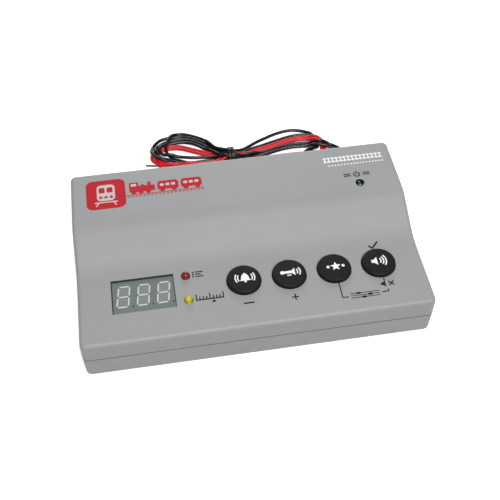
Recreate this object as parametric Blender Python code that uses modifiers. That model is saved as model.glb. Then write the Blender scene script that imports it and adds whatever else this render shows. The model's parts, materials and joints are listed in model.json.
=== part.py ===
"""A desktop controller for a model train set, as an assembly of separate pieces.

The case is two moulded shells. The top shell has a low front panel and a raised rear deck, joined
by a slope that is a concave and then a convex arc. Four round push buttons, a three-digit display
and two indicator LEDs sit in the front panel, and a power LED sits in the rear deck. Inside, one
board hangs from posts of the top shell. Four hook-up wires leave through a grommet in the rear
wall, and their length is folded into a tied hank that lies behind the case.

Sizes are in millimetres, and each mesh is scaled to metres as it is made. +X is to the right, +Y
to the rear and +Z up. The origin is at the middle of the case's footprint, on the table.
"""

import math

import bmesh
import bpy
from mathutils import Matrix, Vector

MM = 0.001

# Driving dimensions of the case.
CASE_WIDTH = 128.8
CASE_DEPTH = 76.2
WALL = 2.0
FOOT_HEIGHT = 0.8
SEAM_HEIGHT = 10.0  # above the case's underside
PANEL_HEIGHT = 18.4
RIDGE_HEIGHT = 26.4
REAR_HEIGHT = 26.1
SLOPE_FOOT = 30.6  # behind the front wall
SLOPE_HEAD = 48.9
CONCAVE_RADIUS = 23.0
CONVEX_RADIUS = 16.0
CORNER_RADIUS = 2.2
TOP_EDGE_RADIUS = 1.5
BOTTOM_EDGE_RADIUS = 1.0
DRAFT = 0.01  # how far a wall leans in, for each millimetre away from the seam
GAP = 0.3  # between pieces that touch

# Levels and faces that follow from them.
FRONT = -CASE_DEPTH / 2
REAR = CASE_DEPTH / 2
BASE = FOOT_HEIGHT
FLOOR = BASE + WALL
SEAM = BASE + SEAM_HEIGHT
PANEL = BASE + PANEL_HEIGHT
PANEL_UNDERSIDE = PANEL - WALL
RIDGE = BASE + RIDGE_HEIGHT
DECK_REAR = BASE + REAR_HEIGHT
DECK_FALL = (RIDGE - DECK_REAR) / (CASE_DEPTH - SLOPE_HEAD)

# The controls, all in one row along the front panel.
ROW = -18.0
BUTTON_NAMES = ("bell", "horn", "aux", "volume")
BUTTON_FIRST = -3.45
BUTTON_PITCH = 16.95
BUTTON_RADIUS = 6.3
BUTTON_PROUD = 1.6
BUTTON_CLEARANCE = 0.25
BUTTON_FLANGE_RADIUS = 7.2
SWITCH_SIDE = 12.0
SWITCH_HEIGHT = 3.6
PLUNGER_RADIUS = 3.3
STEM_RADIUS = 1.8

DISPLAY_WIDTH = 22.5
DISPLAY_DEPTH = 14.0
DISPLAY_HEIGHT = 7.2
DISPLAY_CENTRE = (-40.35, ROW - 0.3)
DISPLAY_RECESS = 0.4
WINDOW_WIDTH = 23.1
WINDOW_DEPTH = 14.9
WINDOW_CENTRE = (-40.45, -18.15)

LED_RADIUS = 1.5
LED_FLANGE_RADIUS = 1.9
LED_HEIGHT = 5.3
LED_PROUD = 2.0
LED_HOLE_RADIUS = 1.75
LED_LEAD_PITCH = 2.54
INDICATOR_X = -24.4
INDICATOR_OFFSET = 5.4  # of each indicator LED from the row
POWER_LED = (47.95, 16.4)

# The board and what fastens it.
BOARD_TOP = PANEL - DISPLAY_RECESS - DISPLAY_HEIGHT
BOARD_THICKNESS = 1.6
BOARD_BOTTOM = BOARD_TOP - BOARD_THICKNESS
BOARD_X = 53.8
BOARD_FRONT = -33.6
BOARD_REAR = 31.0
LEAD_BELOW_BOARD = 1.2
BOARD_POSTS = ((-47.0, -30.6), (47.0, -30.6), (-47.0, 27.0), (38.5, 27.0))
CASE_BOSSES = ((-57.7, -31.6), (57.7, -31.6), (-57.7, 31.6), (57.7, 31.6))
FEET = ((-48.0, -28.0), (48.0, -28.0), (-48.0, 28.0), (48.0, 28.0))
FOOT_RADIUS = 4.0
FOOT_SINK = 0.4

# The four wires, their exit and the hank.
WIRE_RADIUS = 0.75
WIRE_POINT_SPACING = 3.6
EXIT = (48.0, REAR - 0.1, BASE + 15.8)
EXIT_HOLE_RADIUS = 3.5
GROMMET_FLANGE_RADIUS = 4.6
GROMMET_BORE = 2.4
HANK_BOTTOM = 0.2
HANK_TOP = 5.6
HANK_FRONT = 53.4
TIE = (3.4, 63.4, 3.4)
TIE_OPENING = (3.35, 2.8)
TIE_THICKNESS = 0.5
TIE_WIDTH = 2.6
TIP_LENGTH = 6.6
TIP_RADIUS = 0.4
TIP_HEIGHT = 0.8

# Each wire's route: up from its pad on the board, out through the grommet, and down to the hank.
WIRE_ROUTES = {
    "black_wire_1": (
        (52.0, 24.6, 11.9),
        (52.0, 24.6, 13.0),
        (50.8, 28.2, 16.2),
        (48.9, 32.4, 17.4),
        (48.9, 36.0, 17.4),
        (48.9, 40.0, 17.2),
        (49.6, 44.0, 14.8),
        (50.9, 47.8, 10.0),
        (52.2, 50.8, 5.4),
        (52.8, 52.4, 3.4),
    ),
    "black_wire_2": (
        (44.0, 24.6, 11.9),
        (44.0, 24.6, 13.0),
        (45.2, 28.2, 16.2),
        (47.1, 32.4, 17.4),
        (47.1, 36.0, 17.4),
        (47.1, 40.0, 17.2),
        (47.8, 44.0, 14.8),
        (49.1, 47.8, 10.0),
        (50.4, 50.8, 5.4),
        (51.0, 52.4, 3.4),
    ),
    "red_wire_1": (
        (49.3, 24.0, 11.9),
        (49.3, 24.0, 13.0),
        (49.1, 28.2, 14.5),
        (48.9, 32.4, 15.7),
        (48.9, 36.0, 15.7),
        (48.9, 40.0, 15.5),
        (49.0, 42.9, 13.0),
        (49.2, 45.6, 8.8),
        (49.4, 48.2, 4.4),
        (49.4, 51.4, 1.8),
        (49.3, 52.6, 1.4),
    ),
    "red_wire_2": (
        (46.7, 24.0, 11.9),
        (46.7, 24.0, 13.0),
        (46.9, 28.2, 14.5),
        (47.1, 32.4, 15.7),
        (47.1, 36.0, 15.7),
        (47.1, 40.0, 15.5),
        (47.2, 42.9, 13.0),
        (47.4, 45.6, 8.8),
        (47.6, 48.2, 4.4),
        (47.6, 51.4, 1.8),
        (47.5, 52.6, 1.4),
    ),
}

# The hank's outline seen from above, clockwise from its left end.
HANK_OUTLINE = (
    (-34.0, 69.5),
    (-31.0, 78.0),
    (-18.4, 83.6),
    (-8.6, 79.8),
    (3.4, 67.6),
    (16.0, 72.8),
    (31.0, 78.4),
    (41.6, 75.6),
    (52.0, 66.6),
    (54.6, 58.0),
    (52.0, 50.6),
    (44.0, 54.6),
    (32.6, 51.0),
    (19.0, 51.4),
    (3.4, 59.4),
    (-4.0, 54.6),
    (-17.0, 56.0),
    (-32.6, 59.4),
)

# Where each stripped wire end starts, and which way it points, in degrees from +X.
TIPS = {
    "black_wire_1": (-2.4, 54.7, -28.0),
    "black_wire_2": (-6.0, 54.4, -31.0),
    "red_wire_1": (-32.8, 60.8, 165.0),
    "red_wire_2": (-28.8, 63.9, 164.0),
}

COLOURS = {
    "case_plastic": ((0.39, 0.40, 0.40), 0.45, 0.0),
    "button_plastic": ((0.022, 0.021, 0.020), 0.55, 0.0),
    "switch_plastic": ((0.03, 0.03, 0.03), 0.5, 0.0),
    "plunger_plastic": ((0.75, 0.74, 0.70), 0.5, 0.0),
    "display_face": ((0.19, 0.23, 0.22), 0.4, 0.0),
    "red_led": ((0.45, 0.01, 0.02), 0.15, 0.0),
    "yellow_led": ((0.75, 0.55, 0.04), 0.15, 0.0),
    "green_led": ((0.01, 0.09, 0.06), 0.15, 0.0),
    "spacer_plastic": ((0.02, 0.02, 0.02), 0.5, 0.0),
    "board_laminate": ((0.02, 0.16, 0.06), 0.4, 0.0),
    "chip_epoxy": ((0.02, 0.02, 0.022), 0.5, 0.0),
    "relay_case": ((0.55, 0.55, 0.52), 0.4, 0.0),
    "capacitor_sleeve": ((0.02, 0.03, 0.09), 0.35, 0.0),
    "fuse_epoxy": ((0.60, 0.28, 0.03), 0.4, 0.0),
    "plated_steel": ((0.62, 0.61, 0.58), 0.3, 1.0),
    "rubber": ((0.02, 0.02, 0.02), 0.8, 0.0),
    "black_insulation": ((0.015, 0.015, 0.015), 0.35, 0.0),
    "red_insulation": ((0.50, 0.015, 0.02), 0.35, 0.0),
    "tie_nylon": ((0.02, 0.02, 0.02), 0.4, 0.0),
    "tinned_copper": ((0.60, 0.52, 0.44), 0.35, 1.0),
}


# ---------------------------------------------------------------- scene and materials


def clear_scene():
    for obj in list(bpy.data.objects):
        bpy.data.objects.remove(obj)


def new_collection(name):
    made = bpy.data.collections.new(name)
    bpy.context.scene.collection.children.link(made)
    return made


def new_material(name):
    colour, roughness, metallic = COLOURS[name]
    made = bpy.data.materials.new(name)
    made.use_nodes = True
    shader = made.node_tree.nodes["Principled BSDF"]
    shader.inputs["Base Color"].default_value = (*colour, 1.0)
    shader.inputs["Roughness"].default_value = roughness
    shader.inputs["Metallic"].default_value = metallic
    made.diffuse_color = (*colour, 1.0)
    return made


clear_scene()
PARTS = new_collection("train_controller")
HELPERS = new_collection("helpers")
MATERIALS = {name: new_material(name) for name in COLOURS}


def add_part(name, mesh, material):
    """A new named piece of the controller, in millimetres until now, in metres from here on."""
    mesh.transform(Matrix.Scale(MM, 4))
    mesh.materials.clear()
    mesh.materials.append(MATERIALS[material])
    obj = bpy.data.objects.new(name, mesh)
    PARTS.objects.link(obj)
    return obj


def add_helper(mesh, name="helper"):
    """An object that only cuts or joins, and isn't a piece."""
    mesh.transform(Matrix.Scale(MM, 4))
    obj = bpy.data.objects.new(name, mesh)
    obj.hide_render = True
    obj.display_type = "WIRE"
    HELPERS.objects.link(obj)
    return obj


def boolean(obj, operation, *meshes):
    """Adds one Boolean modifier to obj, against the helpers made from these meshes."""
    group = bpy.data.collections.new(f"{obj.name}_{operation.lower()}")
    HELPERS.children.link(group)
    for mesh in meshes:
        helper = add_helper(mesh, f"{obj.name}_helper")
        HELPERS.objects.unlink(helper)
        group.objects.link(helper)
    modifier = obj.modifiers.new(operation.title(), "BOOLEAN")
    modifier.operation = operation
    modifier.operand_type = "COLLECTION"
    modifier.collection = group
    return obj


def cut(obj, *meshes):
    return boolean(obj, "DIFFERENCE", *meshes)


def join(obj, *meshes):
    return boolean(obj, "UNION", *meshes)


def evaluated_mesh(obj):
    """The mesh of a helper object as its modifiers leave it, back in millimetres."""
    bpy.context.view_layer.update()
    graph = bpy.context.evaluated_depsgraph_get()
    made = bpy.data.meshes.new_from_object(obj.evaluated_get(graph))
    made.transform(Matrix.Scale(1 / MM, 4) @ obj.matrix_world)
    return made


def shade(obj, angle=35.0):
    obj.data.shade_smooth()
    obj.data.set_sharp_from_angle(angle=math.radians(angle))
    return obj


# ---------------------------------------------------------------- shapes, in millimetres


def mesh_of(bm, name="shape"):
    made = bpy.data.meshes.new(name)
    bm.normal_update()
    bm.to_mesh(made)
    bm.free()
    return made


def box_bmesh(low, high):
    bm = bmesh.new()
    size = [b - a for a, b in zip(low, high)]
    middle = [(a + b) / 2 for a, b in zip(low, high)]
    place = Matrix.Translation(middle) @ Matrix.Diagonal((*size, 1.0))
    bmesh.ops.create_cube(bm, size=1.0, matrix=place)
    return bm


def box(low, high):
    return mesh_of(box_bmesh(low, high))


def bevel_edges(bm, edges, radius, segments):
    bmesh.ops.bevel(
        bm,
        geom=edges,
        offset=radius,
        offset_type="OFFSET",
        segments=segments,
        profile=0.5,
        affect="EDGES",
        clamp_overlap=True,
    )


def is_upright(edge):
    a, b = (v.co for v in edge.verts)
    return abs(a.z - b.z) > 0.99 * (a - b).length


def rounded_box_bmesh(low, high, radius, segments=4):
    """A box whose four upright edges are rounded."""
    bm = box_bmesh(low, high)
    bevel_edges(bm, [e for e in bm.edges if is_upright(e)], radius, segments)
    return bm


def rounded_box(low, high, radius, segments=4):
    return mesh_of(rounded_box_bmesh(low, high, radius, segments))


def cylinder(centre, radius, low, high, sides=24, top_radius=None):
    """An upright cylinder or cone between two levels."""
    bm = bmesh.new()
    place = Matrix.Translation((centre[0], centre[1], (low + high) / 2))
    bmesh.ops.create_cone(
        bm,
        cap_ends=True,
        segments=sides,
        radius1=radius,
        radius2=radius if top_radius is None else top_radius,
        depth=high - low,
        matrix=place,
    )
    return mesh_of(bm)


def turned(name, material, profile, centre, steps=32, closed=False, axis_to_rear=False):
    """A piece turned about an upright axis through centre, or about one that points to the rear.

    The profile holds (radius, height) pairs that run down the outer side.
    """
    bm = bmesh.new()
    points = [bm.verts.new((radius, 0.0, height)) for radius, height in profile]
    pairs = list(zip(points, points[1:]))
    if closed:
        pairs.append((points[-1], points[0]))
    for pair in pairs:
        bm.edges.new(pair)
    obj = add_part(name, mesh_of(bm), material)
    screw = obj.modifiers.new("Turn", "SCREW")
    screw.steps = screw.render_steps = steps
    screw.use_merge_vertices = True
    screw.merge_threshold = 0.00001
    screw.use_smooth_shade = False
    obj.location = [c * MM for c in centre]
    if axis_to_rear:
        obj.rotation_euler.x = -math.pi / 2
    return obj


def flat_outline(loops, thickness, name="outline"):
    """A flat outline in the XY plane, centred on it, from closed loops of points."""
    curve = bpy.data.curves.new(name, "CURVE")
    curve.dimensions = "2D"
    curve.fill_mode = "BOTH"
    curve.extrude = thickness / 2
    for loop in loops:
        spline = curve.splines.new("POLY")
        spline.points.add(len(loop) - 1)
        spline.use_cyclic_u = True
        for point, (x, y) in zip(spline.points, loop):
            point.co = (x, y, 0.0, 1.0)
    holder = bpy.data.objects.new(name, curve)
    HELPERS.objects.link(holder)
    bpy.context.view_layer.update()
    graph = bpy.context.evaluated_depsgraph_get()
    made = bpy.data.meshes.new_from_object(holder.evaluated_get(graph))
    bpy.data.objects.remove(holder)
    bm = bmesh.new()
    bm.from_mesh(made)
    bmesh.ops.remove_doubles(bm, verts=bm.verts, dist=0.0001)
    bmesh.ops.recalc_face_normals(bm, faces=bm.faces)
    bm.to_mesh(made)
    bm.free()
    return made


def catmull_rom(a, b, c, d, t):
    return 0.5 * (
        2 * b + (c - a) * t + (2 * a - 5 * b + 4 * c - d) * t**2 + (3 * b - a - 3 * c + d) * t**3
    )


def smooth_line(points, spacing, closed=False):
    """Points about that far apart along a smooth curve through the given ones."""
    knots = [Vector(p) for p in points]
    if closed:
        knots = [knots[-1], *knots, knots[0], knots[1]]
    else:
        knots = [2 * knots[0] - knots[1], *knots, 2 * knots[-1] - knots[-2]]
    line = []
    for a, b, c, d in zip(knots, knots[1:], knots[2:], knots[3:]):
        steps = max(1, round((c - b).length / spacing))
        line += [catmull_rom(a, b, c, d, step / steps) for step in range(steps)]
    return line if closed else [*line, knots[-2]]


def tube(name, material, line, radius):
    """A piece that follows a line of points, as a curve with a round bevel."""
    curve = bpy.data.curves.new(name, "CURVE")
    curve.dimensions = "3D"
    curve.bevel_depth = radius * MM
    curve.bevel_resolution = 2
    curve.use_fill_caps = True
    spline = curve.splines.new("POLY")
    spline.points.add(len(line) - 1)
    for point, place in zip(spline.points, line):
        point.co = (*(place * MM), 1.0)
    curve.materials.append(MATERIALS[material])
    obj = bpy.data.objects.new(name, curve)
    PARTS.objects.link(obj)
    return obj


# ---------------------------------------------------------------- the case


def arc_points(centre, radius, start, end, steps):
    """Points along an arc; angles are in degrees, counter-clockwise from +Y in the YZ plane."""
    made = []
    for step in range(steps + 1):
        angle = math.radians(start + (end - start) * step / steps)
        made.append((centre[0] + radius * math.cos(angle), centre[1] + radius * math.sin(angle)))
    return made


def top_line():
    """(Y, height) along the top of the case from the front wall to the rear wall."""
    foot = (FRONT + SLOPE_FOOT, PANEL)
    head = (FRONT + SLOPE_HEAD, RIDGE)
    slope = math.degrees(math.atan2(head[1] - foot[1], head[0] - foot[0]))
    fall = math.degrees(math.atan(DECK_FALL))
    into_concave = CONCAVE_RADIUS * math.tan(math.radians(slope / 2))
    into_convex = CONVEX_RADIUS * math.tan(math.radians((slope + fall) / 2))
    deck_start = (
        head[0] + into_convex * math.cos(math.radians(fall)),
        head[1] - into_convex * math.sin(math.radians(fall)),
    )
    concave_centre = (foot[0] - into_concave, PANEL + CONCAVE_RADIUS)
    convex_centre = (
        deck_start[0] - CONVEX_RADIUS * math.sin(math.radians(fall)),
        deck_start[1] - CONVEX_RADIUS * math.cos(math.radians(fall)),
    )
    return [
        (FRONT, PANEL),
        *arc_points(concave_centre, CONCAVE_RADIUS, -90.0, slope - 90.0, 5),
        *arc_points(convex_centre, CONVEX_RADIUS, slope + 90.0, 90.0 - fall, 5),
        (REAR, DECK_REAR),
    ]


def side_prism(drop, low, half_width, overhang):
    """A block under the top line, lowered by drop, that runs across the case."""
    line = [(y, z - drop) for y, z in top_line()]
    line[0] = (FRONT - overhang, line[0][1])
    line[-1] = (REAR + overhang, line[-1][1] - overhang * DECK_FALL)
    outline = [(line[0][0], low), *line, (line[-1][0], low)]
    made = flat_outline([outline], 2 * half_width)
    # The outline's X and Y become the case's Y and Z.
    made.transform(Matrix(((0, 0, 1, 0), (1, 0, 0, 0), (0, 1, 0, 0), (0, 0, 0, 1))))
    return made


def crosses_top_edge(edge):
    """True for an edge between an upright wall and the case's top."""
    if len(edge.link_faces) != 2:
        return False
    heights = sorted(abs(face.normal.z) for face in edge.link_faces)
    upward = max(face.normal.z for face in edge.link_faces)
    return heights[0] < 0.2 and upward > 0.5


def lean_walls(bm, away_from_seam):
    """Leans the outer walls in, in proportion to the distance from the seam."""
    for vert in bm.verts:
        distance = away_from_seam(vert.co.z)
        if distance > 0:
            vert.co.x *= 1 - DRAFT * distance / (CASE_WIDTH / 2)
            vert.co.y *= 1 - DRAFT * distance / (CASE_DEPTH / 2)


def top_shell_outside():
    """The outer form of the top shell, solid, with its top edges rounded."""
    low = SEAM + GAP / 2
    half = CASE_WIDTH / 2
    plan = rounded_box((-half, FRONT, low), (half, REAR, RIDGE + 5), CORNER_RADIUS, 5)
    block = add_helper(plan, "top_block")
    side = add_helper(side_prism(0.0, low - 5, half + 5, 5.0), "top_side")
    meeting = block.modifiers.new("Meet", "BOOLEAN")
    meeting.operation = "INTERSECT"
    meeting.object = side
    bm = bmesh.new()
    bm.from_mesh(evaluated_mesh(block))
    block.modifiers.clear()
    bmesh.ops.recalc_face_normals(bm, faces=bm.faces)
    bevel_edges(bm, [e for e in bm.edges if crosses_top_edge(e)], TOP_EDGE_RADIUS, 4)
    lean_walls(bm, lambda z: z - SEAM)
    return mesh_of(bm, "top_shell")


def inset_plate(inset, low, high):
    """An upright block that follows the case's plan, that far inside its walls."""
    x = CASE_WIDTH / 2 - inset
    y = CASE_DEPTH / 2 - inset
    return rounded_box((-x, -y, low), (x, y, high), max(CORNER_RADIUS - inset, 1.0), 4)


def top_cavity():
    """The hollow of the top shell."""
    block = add_helper(inset_plate(WALL, SEAM - 2, RIDGE + 5), "top_cavity_block")
    side = add_helper(side_prism(WALL, SEAM - 4, CASE_WIDTH / 2, 5.0), "top_cavity_side")
    meeting = block.modifiers.new("Meet", "BOOLEAN")
    meeting.operation = "INTERSECT"
    meeting.object = side
    made = evaluated_mesh(block)
    block.modifiers.clear()
    return made


def deck_level(y):
    """The height of the rear deck's outer face."""
    return RIDGE - (y - FRONT - SLOPE_HEAD) * DECK_FALL


def underside_level(y):
    """The height of the top shell's underside, on its flat front panel or its rear deck."""
    return PANEL_UNDERSIDE if y < 0 else deck_level(y) - WALL


def button_x(index):
    return BUTTON_FIRST + index * BUTTON_PITCH


def exit_cutter(radius, low, high):
    """A cylinder through the rear wall at the wires' exit."""
    made = cylinder((0, 0), radius, low, high, 28)
    made.transform(Matrix.Translation((EXIT[0], 0, EXIT[2])) @ Matrix.Rotation(-math.pi / 2, 4, "X"))
    return made


def make_top_cover():
    cover = add_part("top_cover", top_shell_outside(), "case_plastic")
    rebate = inset_plate(WALL / 2, SEAM - 1, SEAM + 1.9)
    cut(cover, top_cavity(), rebate)
    boss_foot = SEAM - 0.7
    bosses = [
        cylinder(place, 3.2, boss_foot, underside_level(place[1]) + 0.8, 16)
        for place in CASE_BOSSES
    ]
    posts = [
        cylinder(place, 2.6, BOARD_TOP + GAP / 2, underside_level(place[1]) + 0.8, 14)
        for place in BOARD_POSTS
    ]
    stop_rib = box((-20.0, -10.3, 14.5), (54.0, -9.2, PANEL_UNDERSIDE + 0.8))
    join(cover, *bosses, *posts, stop_rib)
    case_pilots = [
        cylinder(place, 1.5, boss_foot - 1, boss_foot + 6.2, 12) for place in CASE_BOSSES
    ]
    board_pilots = [
        cylinder(place, 1.25, BOARD_TOP - 1, BOARD_TOP + 4.8, 10) for place in BOARD_POSTS
    ]
    window = box(
        (WINDOW_CENTRE[0] - WINDOW_WIDTH / 2, WINDOW_CENTRE[1] - WINDOW_DEPTH / 2, PANEL - 4),
        (WINDOW_CENTRE[0] + WINDOW_WIDTH / 2, WINDOW_CENTRE[1] + WINDOW_DEPTH / 2, PANEL + 2),
    )
    button_holes = [
        cylinder((button_x(i), ROW), BUTTON_RADIUS + BUTTON_CLEARANCE, PANEL - 4, PANEL + 2, 32)
        for i in range(len(BUTTON_NAMES))
    ]
    led_holes = [
        cylinder((INDICATOR_X, ROW + side * INDICATOR_OFFSET), LED_HOLE_RADIUS, PANEL - 4, PANEL + 2, 16)
        for side in (-1, 1)
    ]
    power_hole = cylinder(POWER_LED, LED_HOLE_RADIUS, RIDGE - 5, RIDGE + 2, 16)
    wire_hole = exit_cutter(EXIT_HOLE_RADIUS, REAR - 6, REAR + 2)
    cut(
        cover,
        *case_pilots,
        *board_pilots,
        window,
        *button_holes,
        *led_holes,
        power_hole,
        wire_hole,
    )
    return cover


def make_bottom_cover():
    half = CASE_WIDTH / 2
    rim = SEAM - GAP / 2
    bm = rounded_box_bmesh((-half, FRONT, BASE), (half, REAR, rim), CORNER_RADIUS, 5)
    lower = [e for e in bm.edges if all(abs(v.co.z - BASE) < 0.001 for v in e.verts)]
    bevel_edges(bm, lower, BOTTOM_EDGE_RADIUS, 3)
    lean_walls(bm, lambda z: SEAM - z)
    cover = add_part("bottom_cover", mesh_of(bm, "bottom_shell"), "case_plastic")
    cut(cover, inset_plate(WALL, FLOOR, SEAM + 2))
    tongue_ring = add_helper(inset_plate(1.2, FLOOR + 3, SEAM + 1.6), "tongue")
    tongue_hollow = add_helper(inset_plate(WALL, FLOOR, SEAM + 3), "tongue_hollow")
    hollowing = tongue_ring.modifiers.new("Hollow", "BOOLEAN")
    hollowing.operation = "DIFFERENCE"
    hollowing.object = tongue_hollow
    tongue = evaluated_mesh(tongue_ring)
    tongue_ring.modifiers.clear()
    posts = [cylinder(place, 3.5, FLOOR - 1, SEAM - 1.0, 16) for place in CASE_BOSSES]
    join(cover, tongue, *posts)
    holes = [cylinder(place, 1.6, BASE - 1, SEAM + 1, 12) for place in CASE_BOSSES]
    counterbores = [cylinder(place, 2.9, BASE - 1, BASE + 3.5, 18) for place in CASE_BOSSES]
    foot_seats = [
        cylinder(place, FOOT_RADIUS + GAP, BASE - 1, BASE + FOOT_SINK, 20) for place in FEET
    ]
    cut(cover, *holes, *counterbores, *foot_seats)
    return cover


def make_feet():
    top = BASE + FOOT_SINK - 0.15
    profile = [
        (0.0, top),
        (FOOT_RADIUS, top),
        (FOOT_RADIUS - 0.1, 0.35),
        (FOOT_RADIUS - 0.45, 0.0),
        (0.0, 0.0),
    ]
    for number, (x, y) in enumerate(FEET, 1):
        turned(f"rubber_foot_{number}", "rubber", profile, (x, y, 0.0), 20)


def make_screw(name, place, seat, length, radius, head_radius, head_height):
    """A pan-head screw whose head hangs below its seat and whose shank rises, with a crossed slot."""
    x, y = place
    bottom = seat - head_height
    profile = [
        (0.0, seat + length),
        (radius * 0.45, seat + length - 0.2),
        (radius, seat + length - 1.4),
        (radius, seat),
        (head_radius, seat),
        (head_radius * 0.8, bottom),
        (0.0, bottom),
    ]
    screw = turned(name, "plated_steel", profile, (x, y, 0.0), 14)
    depth = head_height * 0.6
    arm = head_radius * 0.62
    half_slot = head_radius * 0.13
    slots = [
        box((-arm, -half_slot, bottom - 1), (arm, half_slot, bottom + depth)),
        box((-half_slot, -arm, bottom - 1), (half_slot, arm, bottom + depth)),
    ]
    for mesh in slots:
        mesh.transform(Matrix.Translation((x, y, 0.0)))
    return cut(screw, *slots)


def make_fasteners():
    case_seat = BASE + 3.5 - 0.1
    board_seat = BOARD_BOTTOM - 0.1
    for number, place in enumerate(CASE_BOSSES, 1):
        make_screw(f"case_screw_{number}", place, case_seat, 10.5, 1.3, 2.5, 1.8)
    for number, place in enumerate(BOARD_POSTS, 1):
        make_screw(f"board_screw_{number}", place, board_seat, 5.8, 1.05, 2.1, 1.4)


# ---------------------------------------------------------------- buttons and switches


def make_button(name, x):
    """A round cap with a flange under the panel and a socket for the switch's stem."""
    top = PANEL + BUTTON_PROUD
    skirt = PANEL_UNDERSIDE - 1.4
    profile = [
        (0.0, top),
        (BUTTON_RADIUS - 0.6, top - 0.1),
        (BUTTON_RADIUS, top - 0.6),
        (BUTTON_RADIUS, skirt + 0.8),
        (BUTTON_FLANGE_RADIUS, skirt + 0.8),
        (BUTTON_FLANGE_RADIUS, skirt),
        (BUTTON_RADIUS - 1.2, skirt),
        (BUTTON_RADIUS - 1.2, top - 1.4),
        (3.0, top - 1.4),
        (3.0, skirt + 0.3),
        (STEM_RADIUS + 0.2, skirt + 0.3),
        (STEM_RADIUS + 0.2, top - 1.6),
        (0.0, top - 1.6),
    ]
    return turned(f"{name}_button", "button_plastic", profile, (x, ROW, 0.0), 24)


def make_plunger(name, x):
    """The switch's own moving stem, which the cap is pressed on."""
    profile = [
        (0.0, PANEL + BUTTON_PROUD - 1.9),
        (STEM_RADIUS, PANEL + BUTTON_PROUD - 1.9),
        (STEM_RADIUS, BOARD_TOP + SWITCH_HEIGHT + 0.4),
        (PLUNGER_RADIUS, BOARD_TOP + SWITCH_HEIGHT + 0.2),
        (PLUNGER_RADIUS, BOARD_TOP + 1.8),
        (0.0, BOARD_TOP + 1.8),
    ]
    return turned(f"{name}_switch_plunger", "plunger_plastic", profile, (x, ROW, 0.0), 14)


def make_switch(name, x):
    """The fixed body of a tactile switch, with a blind bore for its plunger and four leads."""
    half = SWITCH_SIDE / 2
    low = BOARD_TOP + 0.1
    high = BOARD_TOP + SWITCH_HEIGHT
    bm = rounded_box_bmesh((x - half, ROW - half, low), (x + half, ROW + half, high), 0.8, 2)
    body = add_part(f"{name}_switch_body", mesh_of(bm), "switch_plastic")
    leads = [
        box(
            (x + sx * 5.0 - 0.35, ROW + sy * 5.2 - 0.2, BOARD_BOTTOM - LEAD_BELOW_BOARD),
            (x + sx * 5.0 + 0.35, ROW + sy * 5.2 + 0.2, low + 0.5),
        )
        for sx in (-1, 1)
        for sy in (-1, 1)
    ]
    join(body, *leads)
    cut(body, cylinder((x, ROW), PLUNGER_RADIUS + 0.2, BOARD_TOP + 1.0, high + 1, 20))
    return body


def switch_pins():
    return [
        (button_x(i) + sx * 5.0, ROW + sy * 5.2)
        for i in range(len(BUTTON_NAMES))
        for sx in (-1, 1)
        for sy in (-1, 1)
    ]


# ---------------------------------------------------------------- display and LEDs


def display_pins():
    """The (X, Y) of the display's twelve pins, in two rows of six."""
    x, y = DISPLAY_CENTRE
    return [
        (x + (column - 2.5) * LED_LEAD_PITCH, y + side * 5.6)
        for side in (-1, 1)
        for column in range(6)
    ]


def make_display():
    x, y = DISPLAY_CENTRE
    low = BOARD_TOP + 0.1
    high = BOARD_TOP + DISPLAY_HEIGHT
    body = add_part(
        "display_module",
        box(
            (x - DISPLAY_WIDTH / 2, y - DISPLAY_DEPTH / 2, low),
            (x + DISPLAY_WIDTH / 2, y + DISPLAY_DEPTH / 2, high),
        ),
        "display_face",
    )
    pins = [
        box((px - 0.25, py - 0.15, BOARD_BOTTOM - LEAD_BELOW_BOARD), (px + 0.25, py + 0.15, low + 1))
        for px, py in display_pins()
    ]
    return join(body, *pins)


def make_led(name, material, place, top):
    """A 3 mm LED: a dome on a flanged body, with two leads down through the board."""
    x, y = place
    flange = top - LED_HEIGHT
    dome = [
        (LED_RADIUS * math.sin(math.radians(a)), top - LED_RADIUS * (1 - math.cos(math.radians(a))))
        for a in (0, 22, 45, 68, 90)
    ]
    profile = [
        *dome,
        (LED_RADIUS, flange + 1.0),
        (LED_FLANGE_RADIUS, flange + 1.0),
        (LED_FLANGE_RADIUS, flange),
        (0.0, flange),
    ]
    led = turned(name, material, profile, (x, y, 0.0), 16)
    foot = BOARD_BOTTOM - LEAD_BELOW_BOARD
    leads = [
        box((x + side * 1.27 - 0.25, y - 0.25, foot), (x + side * 1.27 + 0.25, y + 0.25, flange + 0.8))
        for side in (-1, 1)
    ]
    return join(led, *leads)


def led_places():
    return [
        (INDICATOR_X, ROW + INDICATOR_OFFSET),
        (INDICATOR_X, ROW - INDICATOR_OFFSET),
        POWER_LED,
    ]


def make_leds():
    upper, lower, power = led_places()
    make_led("upper_indicator_led", "red_led", upper, PANEL + LED_PROUD)
    make_led("lower_indicator_led", "yellow_led", lower, PANEL + LED_PROUD)
    power_top = deck_level(power[1]) + 0.3
    make_led("power_led", "green_led", power, power_top)
    spacer = add_part(
        "power_led_spacer",
        cylinder(power, 2.3, BOARD_TOP + 0.15, power_top - LED_HEIGHT - 0.15, 20),
        "spacer_plastic",
    )
    bores = [
        cylinder((power[0] + side * 1.27, power[1]), 0.55, BOARD_TOP - 1, RIDGE, 8)
        for side in (-1, 1)
    ]
    cut(spacer, *bores)


# ---------------------------------------------------------------- the board and its components


def pin_holes(places, half=0.55):
    """Square cutters through the board, one for each pin."""
    return [
        box((x - half, y - half, BOARD_BOTTOM - 1), (x + half, y + half, BOARD_TOP + 1))
        for x, y in places
    ]


def two_rows(centre, columns, pitch, spread):
    """(X, Y) of the pins of a dual-in-line package."""
    x, y = centre
    return [
        (x + (column - (columns - 1) / 2) * pitch, y + side * spread / 2)
        for side in (-1, 1)
        for column in range(columns)
    ]


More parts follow.
